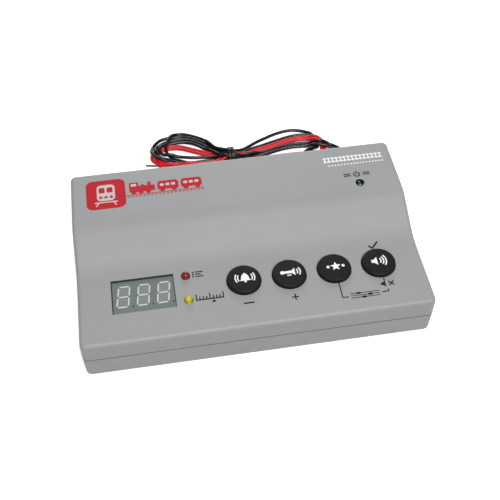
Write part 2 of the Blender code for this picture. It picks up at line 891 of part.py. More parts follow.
CHIP = (-14.0, 6.0)
CHIP_COLUMNS = 9
RELAY = (20.5, 17.0)
RELAY_SIZE = (20.2, 10.2, 10.4)
REGULATOR = (-36.0, 12.4)
RECTIFIER = (35.0, 4.0)
CAPACITORS = ((-12.0, 22.0), (-1.5, 22.0))
CRYSTAL = (5.5, 6.0)
NETWORK = (-42.0, -2.0)
FUSE = (35.0, 17.0)
DRIVERS = ((-26.5, -2.0), (-20.5, -2.0), (-14.5, -2.0))


def component_pins():
    """Every pin place of the through-hole components, other than switches, display and LEDs."""
    places = two_rows(CHIP, CHIP_COLUMNS, 2.54, 7.62)
    places += two_rows(RELAY, 5, 3.81, 7.62)
    places += two_rows(RECTIFIER, 2, 5.08, 6.4)
    places += [(REGULATOR[0] + i * 2.54, REGULATOR[1] - 10.6) for i in (-1, 0, 1)]
    places += [(x + side * 1.75, y) for x, y in CAPACITORS for side in (-1, 1)]
    places += [(CRYSTAL[0] + side * 2.44, CRYSTAL[1]) for side in (-1, 1)]
    places += [(NETWORK[0] + (i - 4) * 2.54, NETWORK[1]) for i in range(9)]
    places += [(FUSE[0] + side * 2.55, FUSE[1]) for side in (-1, 1)]
    places += [(x + i * 1.27, y) for x, y in DRIVERS for i in (-1, 0, 1)]
    return places


def pin_boxes(places, top, half=(0.25, 0.25)):
    low = BOARD_BOTTOM - LEAD_BELOW_BOARD
    return [
        box((x - half[0], y - half[1], low), (x + half[0], y + half[1], top)) for x, y in places
    ]


def make_board():
    board = add_part(
        "main_board",
        box((-BOARD_X, BOARD_FRONT, BOARD_BOTTOM), (BOARD_X, BOARD_REAR, BOARD_TOP)),
        "board_laminate",
    )
    screw_holes = [
        cylinder(place, 1.4, BOARD_BOTTOM - 1, BOARD_TOP + 1, 12) for place in BOARD_POSTS
    ]
    led_pins = [(x + side * 1.27, y) for x, y in led_places() for side in (-1, 1)]
    cut(
        board,
        *screw_holes,
        *pin_holes(switch_pins(), 0.65),
        *pin_holes(display_pins()),
        *pin_holes(led_pins),
        *pin_holes(component_pins()),
    )
    return board


def make_chip():
    """The microcontroller, in its socket."""
    x, y = CHIP
    pins = two_rows(CHIP, CHIP_COLUMNS, 2.54, 7.62)
    socket_top = BOARD_TOP + 3.6
    socket = add_part(
        "microcontroller_socket",
        box((x - 11.6, y - 5.0, BOARD_TOP + 0.1), (x + 11.6, y + 5.0, socket_top)),
        "switch_plastic",
    )
    join(socket, *pin_boxes(pins, BOARD_TOP + 1.0))
    slots = [
        box((px - 0.4, py - 0.35, BOARD_TOP + 1.4), (px + 0.4, py + 0.35, socket_top + 1))
        for px, py in pins
    ]
    cut(socket, box((x - 9.0, y - 2.2, BOARD_TOP - 1), (x + 9.0, y + 2.2, socket_top + 1)), *slots)
    low = socket_top + 0.3
    chip = add_part(
        "microcontroller",
        box((x - 11.4, y - 3.2, low), (x + 11.4, y + 3.2, low + 3.3)),
        "chip_epoxy",
    )
    legs = [
        box((px - 0.23, py - 0.15, BOARD_TOP + 1.8), (px + 0.23, py + 0.15, low + 1.7))
        for px, py in pins
    ]
    shoulders = [
        box(
            (px - 0.23, min(py, y + math.copysign(3.0, py - y)) - 0.15, low + 1.4),
            (px + 0.23, max(py, y + math.copysign(3.0, py - y)) + 0.15, low + 1.7),
        )
        for px, py in pins
    ]
    join(chip, *legs, *shoulders)
    cut(chip, cylinder((x - 11.4, y), 1.0, low + 2.2, low + 4, 12))


def make_relay():
    x, y = RELAY
    width, depth, height = RELAY_SIZE
    low = BOARD_TOP + 0.1
    bm = box_bmesh((x - width / 2, y - depth / 2, low), (x + width / 2, y + depth / 2, low + height))
    bevel_edges(bm, [e for e in bm.edges if max(v.co.z for v in e.verts) > low + 1], 0.5, 2)
    relay = add_part("reversing_relay", mesh_of(bm), "relay_case")
    join(relay, *pin_boxes(two_rows(RELAY, 5, 3.81, 7.62), low + 1))


def make_regulator():
    """A power regulator lying flat on the board, its metal tab under and behind its body."""
    x, y = REGULATOR
    low = BOARD_TOP + 0.1
    regulator = add_part(
        "voltage_regulator",
        box((x - 5.0, y - 8.0, low + 0.9), (x + 5.0, y + 1.2, low + 4.4)),
        "chip_epoxy",
    )
    tab = box((x - 5.0, y - 7.4, low), (x + 5.0, y + 7.6, low + 1.3))
    legs = [
        box((x + i * 2.54 - 0.35, y - 11.0, low + 2.0), (x + i * 2.54 + 0.35, y - 7.5, low + 2.6))
        for i in (-1, 0, 1)
    ]
    drops = [
        box(
            (x + i * 2.54 - 0.35, y - 10.9, BOARD_BOTTOM - LEAD_BELOW_BOARD),
            (x + i * 2.54 + 0.35, y - 10.3, low + 2.3),
        )
        for i in (-1, 0, 1)
    ]
    join(regulator, tab, *legs, *drops)
    cut(regulator, cylinder((x, y + 4.6), 1.8, low - 1, low + 3, 16))


def make_capacitors():
    low = BOARD_TOP + 0.1
    profile = [
        (0.0, low + 11.3),
        (3.2, low + 11.3),
        (3.3, low + 11.5),
        (3.8, low + 11.5),
        (4.0, low + 11.1),
        (4.0, low + 2.2),
        (3.7, low + 1.7),
        (4.0, low + 1.4),
        (4.0, low),
        (0.0, low),
    ]
    for number, (x, y) in enumerate(CAPACITORS, 1):
        capacitor = turned(f"filter_capacitor_{number}", "capacitor_sleeve", profile, (x, y, 0), 16)
        pins = [(x + side * 1.75, y) for side in (-1, 1)]
        join(capacitor, *pin_boxes(pins, low + 1))


def make_small_components():
    low = BOARD_TOP + 0.1
    x, y = RECTIFIER
    rectifier = add_part(
        "bridge_rectifier",
        box((x - 4.2, y - 3.2, low), (x + 4.2, y + 3.2, low + 3.2)),
        "chip_epoxy",
    )
    join(rectifier, *pin_boxes(two_rows(RECTIFIER, 2, 5.08, 6.4), low + 1))
    x, y = CRYSTAL
    crystal = add_part(
        "clock_crystal",
        rounded_box((x - 5.6, y - 2.3, low), (x + 5.6, y + 2.3, low + 3.6), 2.2, 4),
        "plated_steel",
    )
    join(crystal, *pin_boxes([(x - 2.44, y), (x + 2.44, y)], low + 1))
    x, y = NETWORK
    network = add_part(
        "resistor_network",
        box((x - 11.4, y - 1.2, low), (x + 11.4, y + 1.2, low + 5.0)),
        "fuse_epoxy",
    )
    join(network, *pin_boxes([(x + (i - 4) * 2.54, y) for i in range(9)], low + 1))
    x, y = FUSE
    fuse = add_part(
        "resettable_fuse",
        cylinder((0, 0), 3.9, -1.4, 1.4, 20),
        "fuse_epoxy",
    )
    fuse.data.transform(
        Matrix.Translation((x * MM, y * MM, (low + 5.2) * MM)) @ Matrix.Rotation(math.pi / 2, 4, "X")
    )
    join(fuse, *pin_boxes([(x - 2.55, y), (x + 2.55, y)], low + 3.2))
    for number, (x, y) in enumerate(DRIVERS, 1):
        driver = add_part(
            f"driver_transistor_{number}",
            cylinder((x, y), 2.3, low + 0.6, low + 5.0, 16),
            "chip_epoxy",
        )
        cut(driver, box((x - 4, y - 4, low - 1), (x + 4, y - 1.3, low + 7)))
        join(driver, *pin_boxes([(x + i * 1.27, y) for i in (-1, 0, 1)], low + 1.2, (0.2, 0.2)))


# ---------------------------------------------------------------- the wires and their hank


def make_grommet():
    """A rubber grommet in the rear wall: a neck with a flange on each side, turned about +Y."""
    outside = GAP / 2 + 1.25
    inside = -WALL - GAP / 2 - 1.25
    profile = [
        (GROMMET_BORE, outside),
        (GROMMET_FLANGE_RADIUS - 0.4, outside),
        (GROMMET_FLANGE_RADIUS, outside - 0.5),
        (GROMMET_FLANGE_RADIUS, GAP / 2),
        (EXIT_HOLE_RADIUS - 0.2, GAP / 2),
        (EXIT_HOLE_RADIUS - 0.2, -WALL - GAP / 2),
        (GROMMET_FLANGE_RADIUS, -WALL - GAP / 2),
        (GROMMET_FLANGE_RADIUS, inside),
        (GROMMET_BORE, inside),
    ]
    return turned("wire_grommet", "rubber", profile, EXIT, 20, closed=True, axis_to_rear=True)


def make_inner_tie():
    """The tie round the four wires behind the grommet, which takes their pull."""
    profile = [(3.1, 0.9), (3.1, -0.9), (2.3, -0.9), (2.3, 0.9)]
    centre = (EXIT[0], REAR - WALL - 3.2, EXIT[2])
    return turned("inner_wire_tie", "tie_nylon", profile, centre, 16, closed=True, axis_to_rear=True)


def make_wires():
    """The four wires, from their pads on the board, through the grommet, to the hank."""
    for name, route in WIRE_ROUTES.items():
        material = "black_insulation" if name.startswith("black") else "red_insulation"
        tube(name, material, smooth_line(route, WIRE_POINT_SPACING), WIRE_RADIUS)


def ellipse(half_width, half_height, steps=24):
    turns = [2 * math.pi * step / steps for step in range(steps)]
    return [(half_width * math.cos(t), half_height * math.sin(t)) for t in turns]


def tie_band(opening_change, thickness, width):
    """The band of the hank's tie, standing in the YZ plane round the hank's waist."""
    inner = [size + opening_change for size in TIE_OPENING]
    loops = [ellipse(inner[0] + thickness, inner[1] + thickness), ellipse(*inner)]
    band = flat_outline(loops, width)
    band.transform(Matrix(((0, 0, 1, 0), (1, 0, 0, 0), (0, 1, 0, 0), (0, 0, 0, 1))))
    band.transform(Matrix.Translation(TIE))
    return band


def make_hank():
    """The folded wires as one outer form, waisted by its tie, and the tie itself."""
    loop = [(p.x, p.y) for p in smooth_line([(x, y, 0) for x, y in HANK_OUTLINE], 3.8, True)]
    body = flat_outline([loop], HANK_TOP - HANK_BOTTOM)
    body.transform(Matrix.Translation((0, 0, (HANK_TOP + HANK_BOTTOM) / 2)))
    hank = add_part("wire_hank", body, "black_insulation")
    cut(hank, tie_band(-GAP, 8.0, TIE_WIDTH + 2 * GAP))
    leads_side = EXIT[0] - 3.0, HANK_FRONT - 10.0, -1.0
    cut(hank, box(leads_side, (EXIT[0] + 12.0, HANK_FRONT, HANK_TOP + 1.0)))
    half_slot = TIP_RADIUS + GAP
    for x, y, heading in TIPS.values():
        slot = box((-GAP, -half_slot, -1.0), (2 * TIP_LENGTH, half_slot, HANK_TOP + 1.0))
        turn = Matrix.Rotation(math.radians(heading), 4, "Z")
        slot.transform(Matrix.Translation((x, y, 0)) @ turn)
        cut(hank, slot)
    tie = add_part("hank_tie", tie_band(0.0, TIE_THICKNESS, TIE_WIDTH), "tie_nylon")
    x, y, z = TIE
    join(tie, box((x - 1.1, y + 0.9, z + TIE_OPENING[1]), (x + 1.1, y + 2.3, z + 3.9)))


def make_tips():
    """The stripped and tinned ends of the wires, lying on the table beside the hank."""
    for name, (x, y, heading) in TIPS.items():
        turn = math.radians(heading)
        way = Vector((math.cos(turn), math.sin(turn), 0.0))
        start = Vector((x, y, TIP_HEIGHT))
        line = [start + way * TIP_LENGTH * step / 2 for step in range(3)]
        tube(f"{name}_bare_end", "tinned_copper", line, TIP_RADIUS)


def build():
    make_top_cover()
    make_bottom_cover()
    make_feet()
    make_fasteners()
    for index, name in enumerate(BUTTON_NAMES):
        make_button(name, button_x(index))
        make_plunger(name, button_x(index))
        make_switch(name, button_x(index))
    make_display()
    make_leds()
    make_board()
    make_chip()
    make_relay()
    make_regulator()
    make_capacitors()
    make_small_components()
    make_grommet()
    make_inner_tie()
    make_wires()
    make_hank()
    make_tips()
    for obj in PARTS.objects:
        if obj.type == "MESH":
            shade(obj)


build()
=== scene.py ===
import json
import math

import bmesh
import bpy
import numpy as np
from mathutils import Matrix, Vector


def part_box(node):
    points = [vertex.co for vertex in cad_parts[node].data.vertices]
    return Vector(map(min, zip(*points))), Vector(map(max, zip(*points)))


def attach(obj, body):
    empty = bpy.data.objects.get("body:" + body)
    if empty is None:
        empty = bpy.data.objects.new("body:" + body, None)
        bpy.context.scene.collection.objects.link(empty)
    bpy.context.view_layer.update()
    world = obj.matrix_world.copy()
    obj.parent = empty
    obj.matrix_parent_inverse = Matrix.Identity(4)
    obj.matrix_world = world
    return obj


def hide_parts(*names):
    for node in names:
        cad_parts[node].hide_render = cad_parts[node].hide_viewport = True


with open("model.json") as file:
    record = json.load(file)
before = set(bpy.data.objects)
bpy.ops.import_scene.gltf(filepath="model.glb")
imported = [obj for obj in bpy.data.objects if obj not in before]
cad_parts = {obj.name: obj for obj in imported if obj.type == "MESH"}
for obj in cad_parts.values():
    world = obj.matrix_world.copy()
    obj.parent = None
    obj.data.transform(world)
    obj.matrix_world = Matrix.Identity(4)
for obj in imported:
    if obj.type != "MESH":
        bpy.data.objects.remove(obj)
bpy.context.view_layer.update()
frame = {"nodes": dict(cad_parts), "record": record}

MM = 0.001

# ---------------- the camera


CAMERA_PLACE = (-30.30, -198.30, 264.78)
CAMERA_TURN = (9.167, 51.293, 0.087)  # degrees to the right, down, and about the view
CAMERA_SENSOR, CAMERA_LENS = 36.0, 59.83


def make_camera():
    """From in front and above, a little to the left of the middle."""
    data = bpy.data.cameras.new("camera")
    data.sensor_width = CAMERA_SENSOR
    data.lens = CAMERA_LENS
    yaw, pitch, roll = (math.radians(a) for a in CAMERA_TURN)
    forward = Vector((math.sin(yaw) * math.cos(pitch), math.cos(yaw) * math.cos(pitch), -math.sin(pitch)))
    level = Vector((math.cos(yaw), -math.sin(yaw), 0.0))
    above = level.cross(forward)
    side = level * math.cos(roll) + above * math.sin(roll)
    top = above * math.cos(roll) - level * math.sin(roll)
    camera = bpy.data.objects.new("camera", data)
    bpy.context.scene.collection.objects.link(camera)
    turn = Matrix((side, top, -forward)).transposed().to_4x4()
    camera.matrix_world = Matrix.Translation(Vector(CAMERA_PLACE) * MM) @ turn
    bpy.context.scene.camera = camera


make_camera()


# ---------------- materials


class Nodes:
    """Short calls for building one material's node tree."""

    def __init__(self, name, colour, roughness, metallic=0.0):
        self.material = bpy.data.materials.new(name)
        self.material.use_nodes = True
        self.material.diffuse_color = (*colour, 1.0)
        self.tree = self.material.node_tree
        self.shader = self.tree.nodes["Principled BSDF"]
        self.set("Base Color", (*colour, 1.0))
        self.set("Roughness", roughness)
        self.set("Metallic", metallic)
        self.place = self.tree.nodes.new("ShaderNodeTexCoord").outputs["Object"]

    def set(self, socket, value):
        self.shader.inputs[socket].default_value = value

    def link(self, source, node, socket):
        self.tree.links.new(source, node.inputs[socket])

    def noise(self, per_mm, detail=3.0, stretch=(1.0, 1.0, 1.0)):
        place = self.tree.nodes.new("ShaderNodeMapping")
        place.inputs["Scale"].default_value = stretch
        self.link(self.place, place, "Vector")
        noise = self.tree.nodes.new("ShaderNodeTexNoise")
        noise.inputs["Scale"].default_value = per_mm / MM
        noise.inputs["Detail"].default_value = detail
        self.link(place.outputs[0], noise, "Vector")
        return noise.outputs["Fac"]

    def cells(self, per_mm):
        cells = self.tree.nodes.new("ShaderNodeTexVoronoi")
        cells.inputs["Scale"].default_value = per_mm / MM
        self.link(self.place, cells, "Vector")
        return cells.outputs["Distance"]

    def ramp(self, source, *stops):
        """Stops are (place, colour or grey)."""
        ramp = self.tree.nodes.new("ShaderNodeValToRGB")
        self.link(source, ramp, "Fac")
        elements = ramp.color_ramp.elements
        while len(elements) < len(stops):
            elements.new(0.5)
        for element, (at, value) in zip(elements, stops):
            element.position = at
            element.color = (*value, 1.0) if isinstance(value, tuple) else (value, value, value, 1.0)
        return ramp.outputs["Color"]

    def mix(self, factor, first, second, mode="MIX"):
        mix = self.tree.nodes.new("ShaderNodeMix")
        mix.data_type = "RGBA"
        mix.blend_type = mode
        for socket, value in ((0, factor), (6, first), (7, second)):
            if isinstance(value, bpy.types.NodeSocket):
                self.tree.links.new(value, mix.inputs[socket])
            else:
                mix.inputs[socket].default_value = value
        return mix.outputs[2]

    def bump(self, *layers):
        """Each layer is (height source, distance in mm)."""
        normal = None
        for height, distance in layers:
            bump = self.tree.nodes.new("ShaderNodeBump")
            bump.inputs["Distance"].default_value = distance * MM
            bump.inputs["Strength"].default_value = 1.0
            self.link(height, bump, "Height")
            if normal is not None:
                self.link(normal, bump, "Normal")
            normal = bump.outputs["Normal"]
        self.link(normal, self.shader, "Normal")

    def colour(self, source):
        self.link(source, self.shader, "Base Color")

    def roughness(self, source):
        self.link(source, self.shader, "Roughness")


def shade(colour, factor):
    return tuple(min(1.0, c * factor) for c in colour)


def speckled(n, colour, size_mm, chance, tint):
    """Scattered small marks of another tint, about one for every few cells."""
    spots = n.ramp(n.cells(1.0 / size_mm), (0.05, 1.0), (0.13, 0.0))
    patchy = n.ramp(n.noise(0.16 / size_mm, 1.0), (chance, 0.0), (chance + 0.03, 1.0))
    both = n.mix(1.0, spots, patchy, "MULTIPLY")
    return n.mix(both, colour, (*tint, 1.0))


def moulded_plastic(name, colour, roughness, grain_mm, depth_mm, marks=None, gloss=0.5):
    """Injection-moulded plastic: fine spark-eroded grain, faint cloudiness and handling marks."""
    n = Nodes(name, colour, roughness)
    cloud = n.ramp(n.noise(0.035, 4.0), (0.3, shade(colour, 0.965)), (0.7, shade(colour, 1.035)))
    mottle = n.ramp(n.noise(1.4, 4.0), (0.3, shade(colour, 0.97)), (0.7, shade(colour, 1.03)))
    blend = n.mix(0.5, cloud, mottle)
    if marks:
        blend = speckled(n, blend, 1.6, 0.66, marks)
    n.colour(blend)
    n.roughness(n.ramp(n.noise(0.25, 5.0), (0.3, roughness - 0.05), (0.7, roughness + 0.06)))
    grain = n.noise(1.0 / grain_mm, 2.0)
    wave = n.noise(0.06, 1.0)
    n.bump((wave, 0.06), (grain, depth_mm))
    n.set("Specular IOR Level", gloss)
    return n.material


def insulation(name, colour, roughness=0.27):
    """Soft PVC wire sleeve: slightly uneven, with faint drag lines and dust."""
    n = Nodes(name, colour, roughness)
    dust = n.ramp(n.noise(0.5, 4.0), (0.45, 0.0), (0.75, 0.6))
    n.colour(n.mix(dust, (*colour, 1.0), (*shade(colour, 1.5), 1.0)))
    n.roughness(n.ramp(n.noise(1.1, 3.0), (0.3, roughness - 0.06), (0.7, roughness + 0.1)))
    n.bump((n.noise(0.8, 2.0), 0.05))
    n.set("Specular IOR Level", 0.45)
    return n.material


def metal(name, colour, roughness, streak=(1.0, 1.0, 1.0)):
    """Plated metal: uneven in tone and gloss, with fine streaks where they are asked for."""
    n = Nodes(name, colour, roughness, 1.0)
    n.colour(n.ramp(n.noise(0.9, 4.0), (0.3, shade(colour, 0.82)), (0.7, shade(colour, 1.1))))
    n.roughness(n.ramp(n.noise(2.5, 3.0, streak), (0.3, roughness - 0.08), (0.7, roughness + 0.14)))
    n.bump((n.noise(3.0, 2.0, streak), 0.015))
    return n.material


def clear_epoxy(name, colour, roughness=0.08):
    """Tinted LED epoxy: glossy, partly see-through, slightly uneven in colour."""
    n = Nodes(name, colour, roughness)
    n.colour(n.ramp(n.noise(0.5, 2.0), (0.35, shade(colour, 0.8)), (0.65, shade(colour, 1.15))))
    n.set("Transmission Weight", 0.35)
    n.set("IOR", 1.5)
    n.set("Coat Weight", 0.5)
    n.set("Coat Roughness", 0.04)
    n.bump((n.noise(0.9, 1.0), 0.02))
    return n.material


def printed_ink(name, colour, roughness=0.55):
    """Pad-printed ink: a touch thin here and there, so that the plastic greys it."""
    n = Nodes(name, colour, roughness)
    thin = n.ramp(n.noise(3.0, 4.0), (0.35, shade(colour, 0.86)), (0.65, shade(colour, 1.0)))
    n.colour(thin)
    n.roughness(n.ramp(n.noise(2.0, 2.0), (0.3, roughness - 0.08), (0.7, roughness + 0.1)))
    n.bump((n.noise(2.6, 2.0), 0.01))
    n.set("Specular IOR Level", 0.25)
    return n.material


def laminate(name):
    """Green solder mask over copper tracks."""
    n = Nodes(name, (0.012, 0.12, 0.05), 0.32)
    tracks = n.ramp(n.noise(0.28, 1.0), (0.47, 0.0), (0.49, 1.0), (0.53, 0.0))
    n.colour(n.mix(tracks, (0.012, 0.12, 0.05, 1.0), (0.03, 0.22, 0.09, 1.0)))
    n.roughness(n.ramp(n.noise(1.0, 2.0), (0.3, 0.26), (0.7, 0.4)))
    n.bump((tracks, 0.03), (n.noise(2.0, 2.0), 0.02))
    return n.material


def rubber(name, colour):
    """Dull rubber with scattered pale dust."""
    n = Nodes(name, colour, 0.78)
    cloud = n.ramp(n.noise(0.7, 4.0), (0.3, shade(colour, 0.75)), (0.7, shade(colour, 1.5)))
    n.colour(speckled(n, cloud, 0.6, 0.55, shade(colour, 4.0)))
    n.roughness(n.ramp(n.noise(1.5, 3.0), (0.3, 0.68), (0.7, 0.88)))
    n.bump((n.noise(3.0, 3.0), 0.03))
    return n.material


CASE_GREY = (0.315, 0.322, 0.325)
MATERIALS = {
    "case_plastic": moulded_plastic("case_abs", CASE_GREY, 0.50, 0.35, 0.016, (0.16, 0.16, 0.155)),
    "button_plastic": moulded_plastic("button_abs", (0.008, 0.0076, 0.0072), 0.54, 0.30, 0.03,
                                     (0.026, 0.024, 0.022), 0.24),
    "switch_plastic": moulded_plastic("switch_nylon", (0.025, 0.025, 0.026), 0.45, 0.3, 0.02),
    "plunger_plastic": moulded_plastic("plunger_nylon", (0.70, 0.69, 0.64), 0.45, 0.3, 0.01),
    "display_face": moulded_plastic("display_resin", (0.152, 0.186, 0.178), 0.36, 0.4, 0.006),
    "red_led": clear_epoxy("red_led_epoxy", (0.36, 0.006, 0.012)),
    "yellow_led": clear_epoxy("yellow_led_epoxy", (0.80, 0.66, 0.05)),
    "green_led": clear_epoxy("green_led_epoxy", (0.006, 0.055, 0.040)),
    "spacer_plastic": moulded_plastic("spacer_nylon", (0.02, 0.02, 0.02), 0.5, 0.3, 0.02),
    "board_laminate": laminate("board_mask"),
    "chip_epoxy": moulded_plastic("chip_compound", (0.020, 0.020, 0.022), 0.55, 0.12, 0.015,
                                  (0.06, 0.06, 0.06)),
    "relay_case": moulded_plastic("relay_shell", (0.52, 0.52, 0.49), 0.4, 0.3, 0.01),
    "capacitor_sleeve": moulded_plastic("capacitor_wrap", (0.018, 0.025, 0.075), 0.3, 0.5, 0.02),
    "fuse_epoxy": moulded_plastic("fuse_coating", (0.56, 0.25, 0.025), 0.35, 0.6, 0.05),
    "plated_steel": metal("plated_steel", (0.60, 0.59, 0.56), 0.30),
    "rubber": rubber("foot_rubber", (0.018, 0.018, 0.018)),
    "black_insulation": insulation("black_pvc", (0.004, 0.004, 0.0044)),
    "red_insulation": insulation("red_pvc", (0.56, 0.004, 0.014), 0.4),
    "tie_nylon": insulation("tie_plastic", (0.004, 0.004, 0.0044), 0.42),
    "tinned_copper": metal("tinned_copper", (0.17, 0.125, 0.095), 0.34, (1.0, 1.0, 0.2)),
}
WHITE_INK = printed_ink("white_ink", (0.93, 0.93, 0.92))
DARK_INK = printed_ink("dark_ink", (0.010, 0.010, 0.011))
RED_INK = printed_ink("red_ink", (0.50, 0.010, 0.022))
PALE_INK = printed_ink("pale_ink", (0.60, 0.56, 0.54))
SEGMENT = moulded_plastic("segment_diffuser", (0.60, 0.615, 0.57), 0.42, 0.25, 0.008)
CHAMBER = moulded_plastic("segment_chamber", (0.205, 0.226, 0.212), 0.5, 0.3, 0.01)
BRASS = metal("gilt_frame", (0.42, 0.33, 0.10), 0.38)
DARK_RED = moulded_plastic("lamp_foot", (0.16, 0.008, 0.012), 0.3, 0.3, 0.01)
SOLDER = metal("solder", (0.66, 0.66, 0.65), 0.28)
# Near-black for the strip in the seam: a painted shadow of the groove between the two shells.
SEAM_PAINTED_SHADOW = moulded_plastic("seam_painted_shadow", (0.05, 0.05, 0.052), 0.7, 0.3, 0.02)


# ---------------- piece helpers


def new_piece(name, mesh, material, body, smooth_degrees=None):
    """A mesh drawn in millimetres becomes a piece in metres that rides on a body."""
    mesh.transform(Matrix.Scale(MM, 4))
    mesh.materials.clear()
    mesh.materials.append(material)
    obj = bpy.data.objects.new(name, mesh)
    bpy.context.scene.collection.objects.link(obj)
    if smooth_degrees:
        mesh.shade_smooth()
        mesh.set_sharp_from_angle(angle=math.radians(smooth_degrees))
    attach(obj, body)
    return obj


def mesh_of(bm, name="piece"):
    bmesh.ops.remove_doubles(bm, verts=bm.verts, dist=1e-5)
    bmesh.ops.recalc_face_normals(bm, faces=bm.faces)
    mesh = bpy.data.meshes.new(name)
    bm.to_mesh(mesh)
    bm.free()
    return mesh


def add_turned(bm, profile, place, steps=48):
    """A closed turned form about +Z: profile is (radius, height) from axis to axis."""
    x, y, z = place
    rings = []
    for radius, height in profile:
        if radius < 1e-6:
            rings.append([bm.verts.new((x, y, z + height))])
            continue
        turns = [2 * math.pi * step / steps for step in range(steps)]
        spots = [(x + radius * math.cos(t), y + radius * math.sin(t), z + height) for t in turns]
        rings.append([bm.verts.new(spot) for spot in spots])
    for low, high in zip(rings, rings[1:]):
        for i in range(steps):
            j = (i + 1) % steps
            corners = [low[i % len(low)], low[j % len(low)], high[j % len(high)], high[i % len(high)]]
            unique = list(dict.fromkeys(corners))
            if len(unique) > 2:
                bm.faces.new(unique)


def turned(profile, place, steps=48):
    bm = bmesh.new()
    add_turned(bm, profile, place, steps)
    return mesh_of(bm)


def join_rings(bm, rings, around=False):
    """Faces from each ring of corners to the next, then either round to the first or over both ends."""
    for ring, after in zip(rings, rings[1:] + (rings[:1] if around else [])):
        for i in range(len(ring)):
            j = (i + 1) % len(ring)
            bm.faces.new((ring[i], ring[j], after[j], after[i]))
    if not around:
        bm.faces.new(rings[0][::-1])
        bm.faces.new(rings[-1])


def arc(x, y, radius, start, end, steps):
    """Points along an arc, angles in degrees from +X."""
    angles = [math.radians(start + (end - start) * i / steps) for i in range(steps + 1)]
    return [(x + radius * math.cos(a), y + radius * math.sin(a)) for a in angles]


def rounded_box(x0, y0, x1, y1, corner, steps):
    """The outline of a rectangle with round corners."""
    corners = ((x1 - corner, y1 - corner, 0), (x0 + corner, y1 - corner, 90),
               (x0 + corner, y0 + corner, 180), (x1 - corner, y0 + corner, 270))
    return [spot for x, y, start in corners for spot in arc(x, y, corner, start, start + 90, steps)]


def node_centre(node):
    low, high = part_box(node)
    return [(a + b) / 2 / MM for a, b in zip(low, high)]


def node_top(node):
    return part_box(node)[1][2] / MM


# ---------------- the wires

WIRE_DIAMETER = 1.5
WIRE_GAP = 0.02
TABLE_GAP = 0.03
WIRE_STEP = 1.0
ON_TABLE = 0.8
BARE_LENGTH, STRAND_RADIUS, STRAND_ORBIT = 6.4, 0.135, 0.265
TIE_CENTRE = (3.4, 63.4, 3.4)
TIE_INSIDE = (3.35, 2.8)
TIE_REACH = 1.6

# Where each strand crosses the tie's plane, as (Y, Z).
TIE_PLACES = ((64.9, 4.2), (64.2, 5.3), (62.6, 5.3), (63.4, 4.2), (61.9, 4.2), (65.7, 2.9),
              (64.2, 2.9), (62.65, 2.9), (61.1, 2.9), (64.9, 1.6), (63.4, 1.6), (61.9, 1.6))


def in_tie(number):
    return [(TIE_CENTRE[0], *TIE_PLACES[number - 1])]


# From each pad, through the grommet and down to the table, as the CAD wires run. The two wires of
# a colour run side by side, so each place has X for the first one, X for the second one, Y and Z.
LEAD_PAIRS = {
    "black": [(52.0, 44.0, 24.6, 11.9), (52.0, 44.0, 24.6, 13.0), (50.8, 45.2, 28.2, 16.2),
              (48.9, 47.1, 32.4, 17.4), (48.9, 47.1, 36.0, 17.4), (48.9, 47.1, 40.0, 17.2),
              (49.6, 47.8, 44.0, 14.8), (50.9, 49.1, 47.8, 10.0), (52.2, 50.4, 50.8, 5.4),
              (52.8, 51.0, 52.4, 3.4)],
    "red": [(49.3, 46.7, 24.0, 11.9), (49.3, 46.7, 24.0, 13.0), (49.1, 46.9, 28.2, 14.5),
            (48.9, 47.1, 32.4, 15.7), (48.9, 47.1, 36.0, 15.7), (48.9, 47.1, 40.0, 15.5),
            (49.0, 47.2, 42.9, 13.0), (49.2, 47.4, 45.6, 8.8), (49.4, 47.6, 48.2, 4.4),
            (49.4, 47.6, 51.4, 1.8), (49.3, 47.5, 52.6, 1.4)],
}
LEADS = {f"{colour}_wire_{number + 1}": [(place[number], *place[2:]) for place in places]
         for colour, places in LEAD_PAIRS.items() for number in (0, 1)}

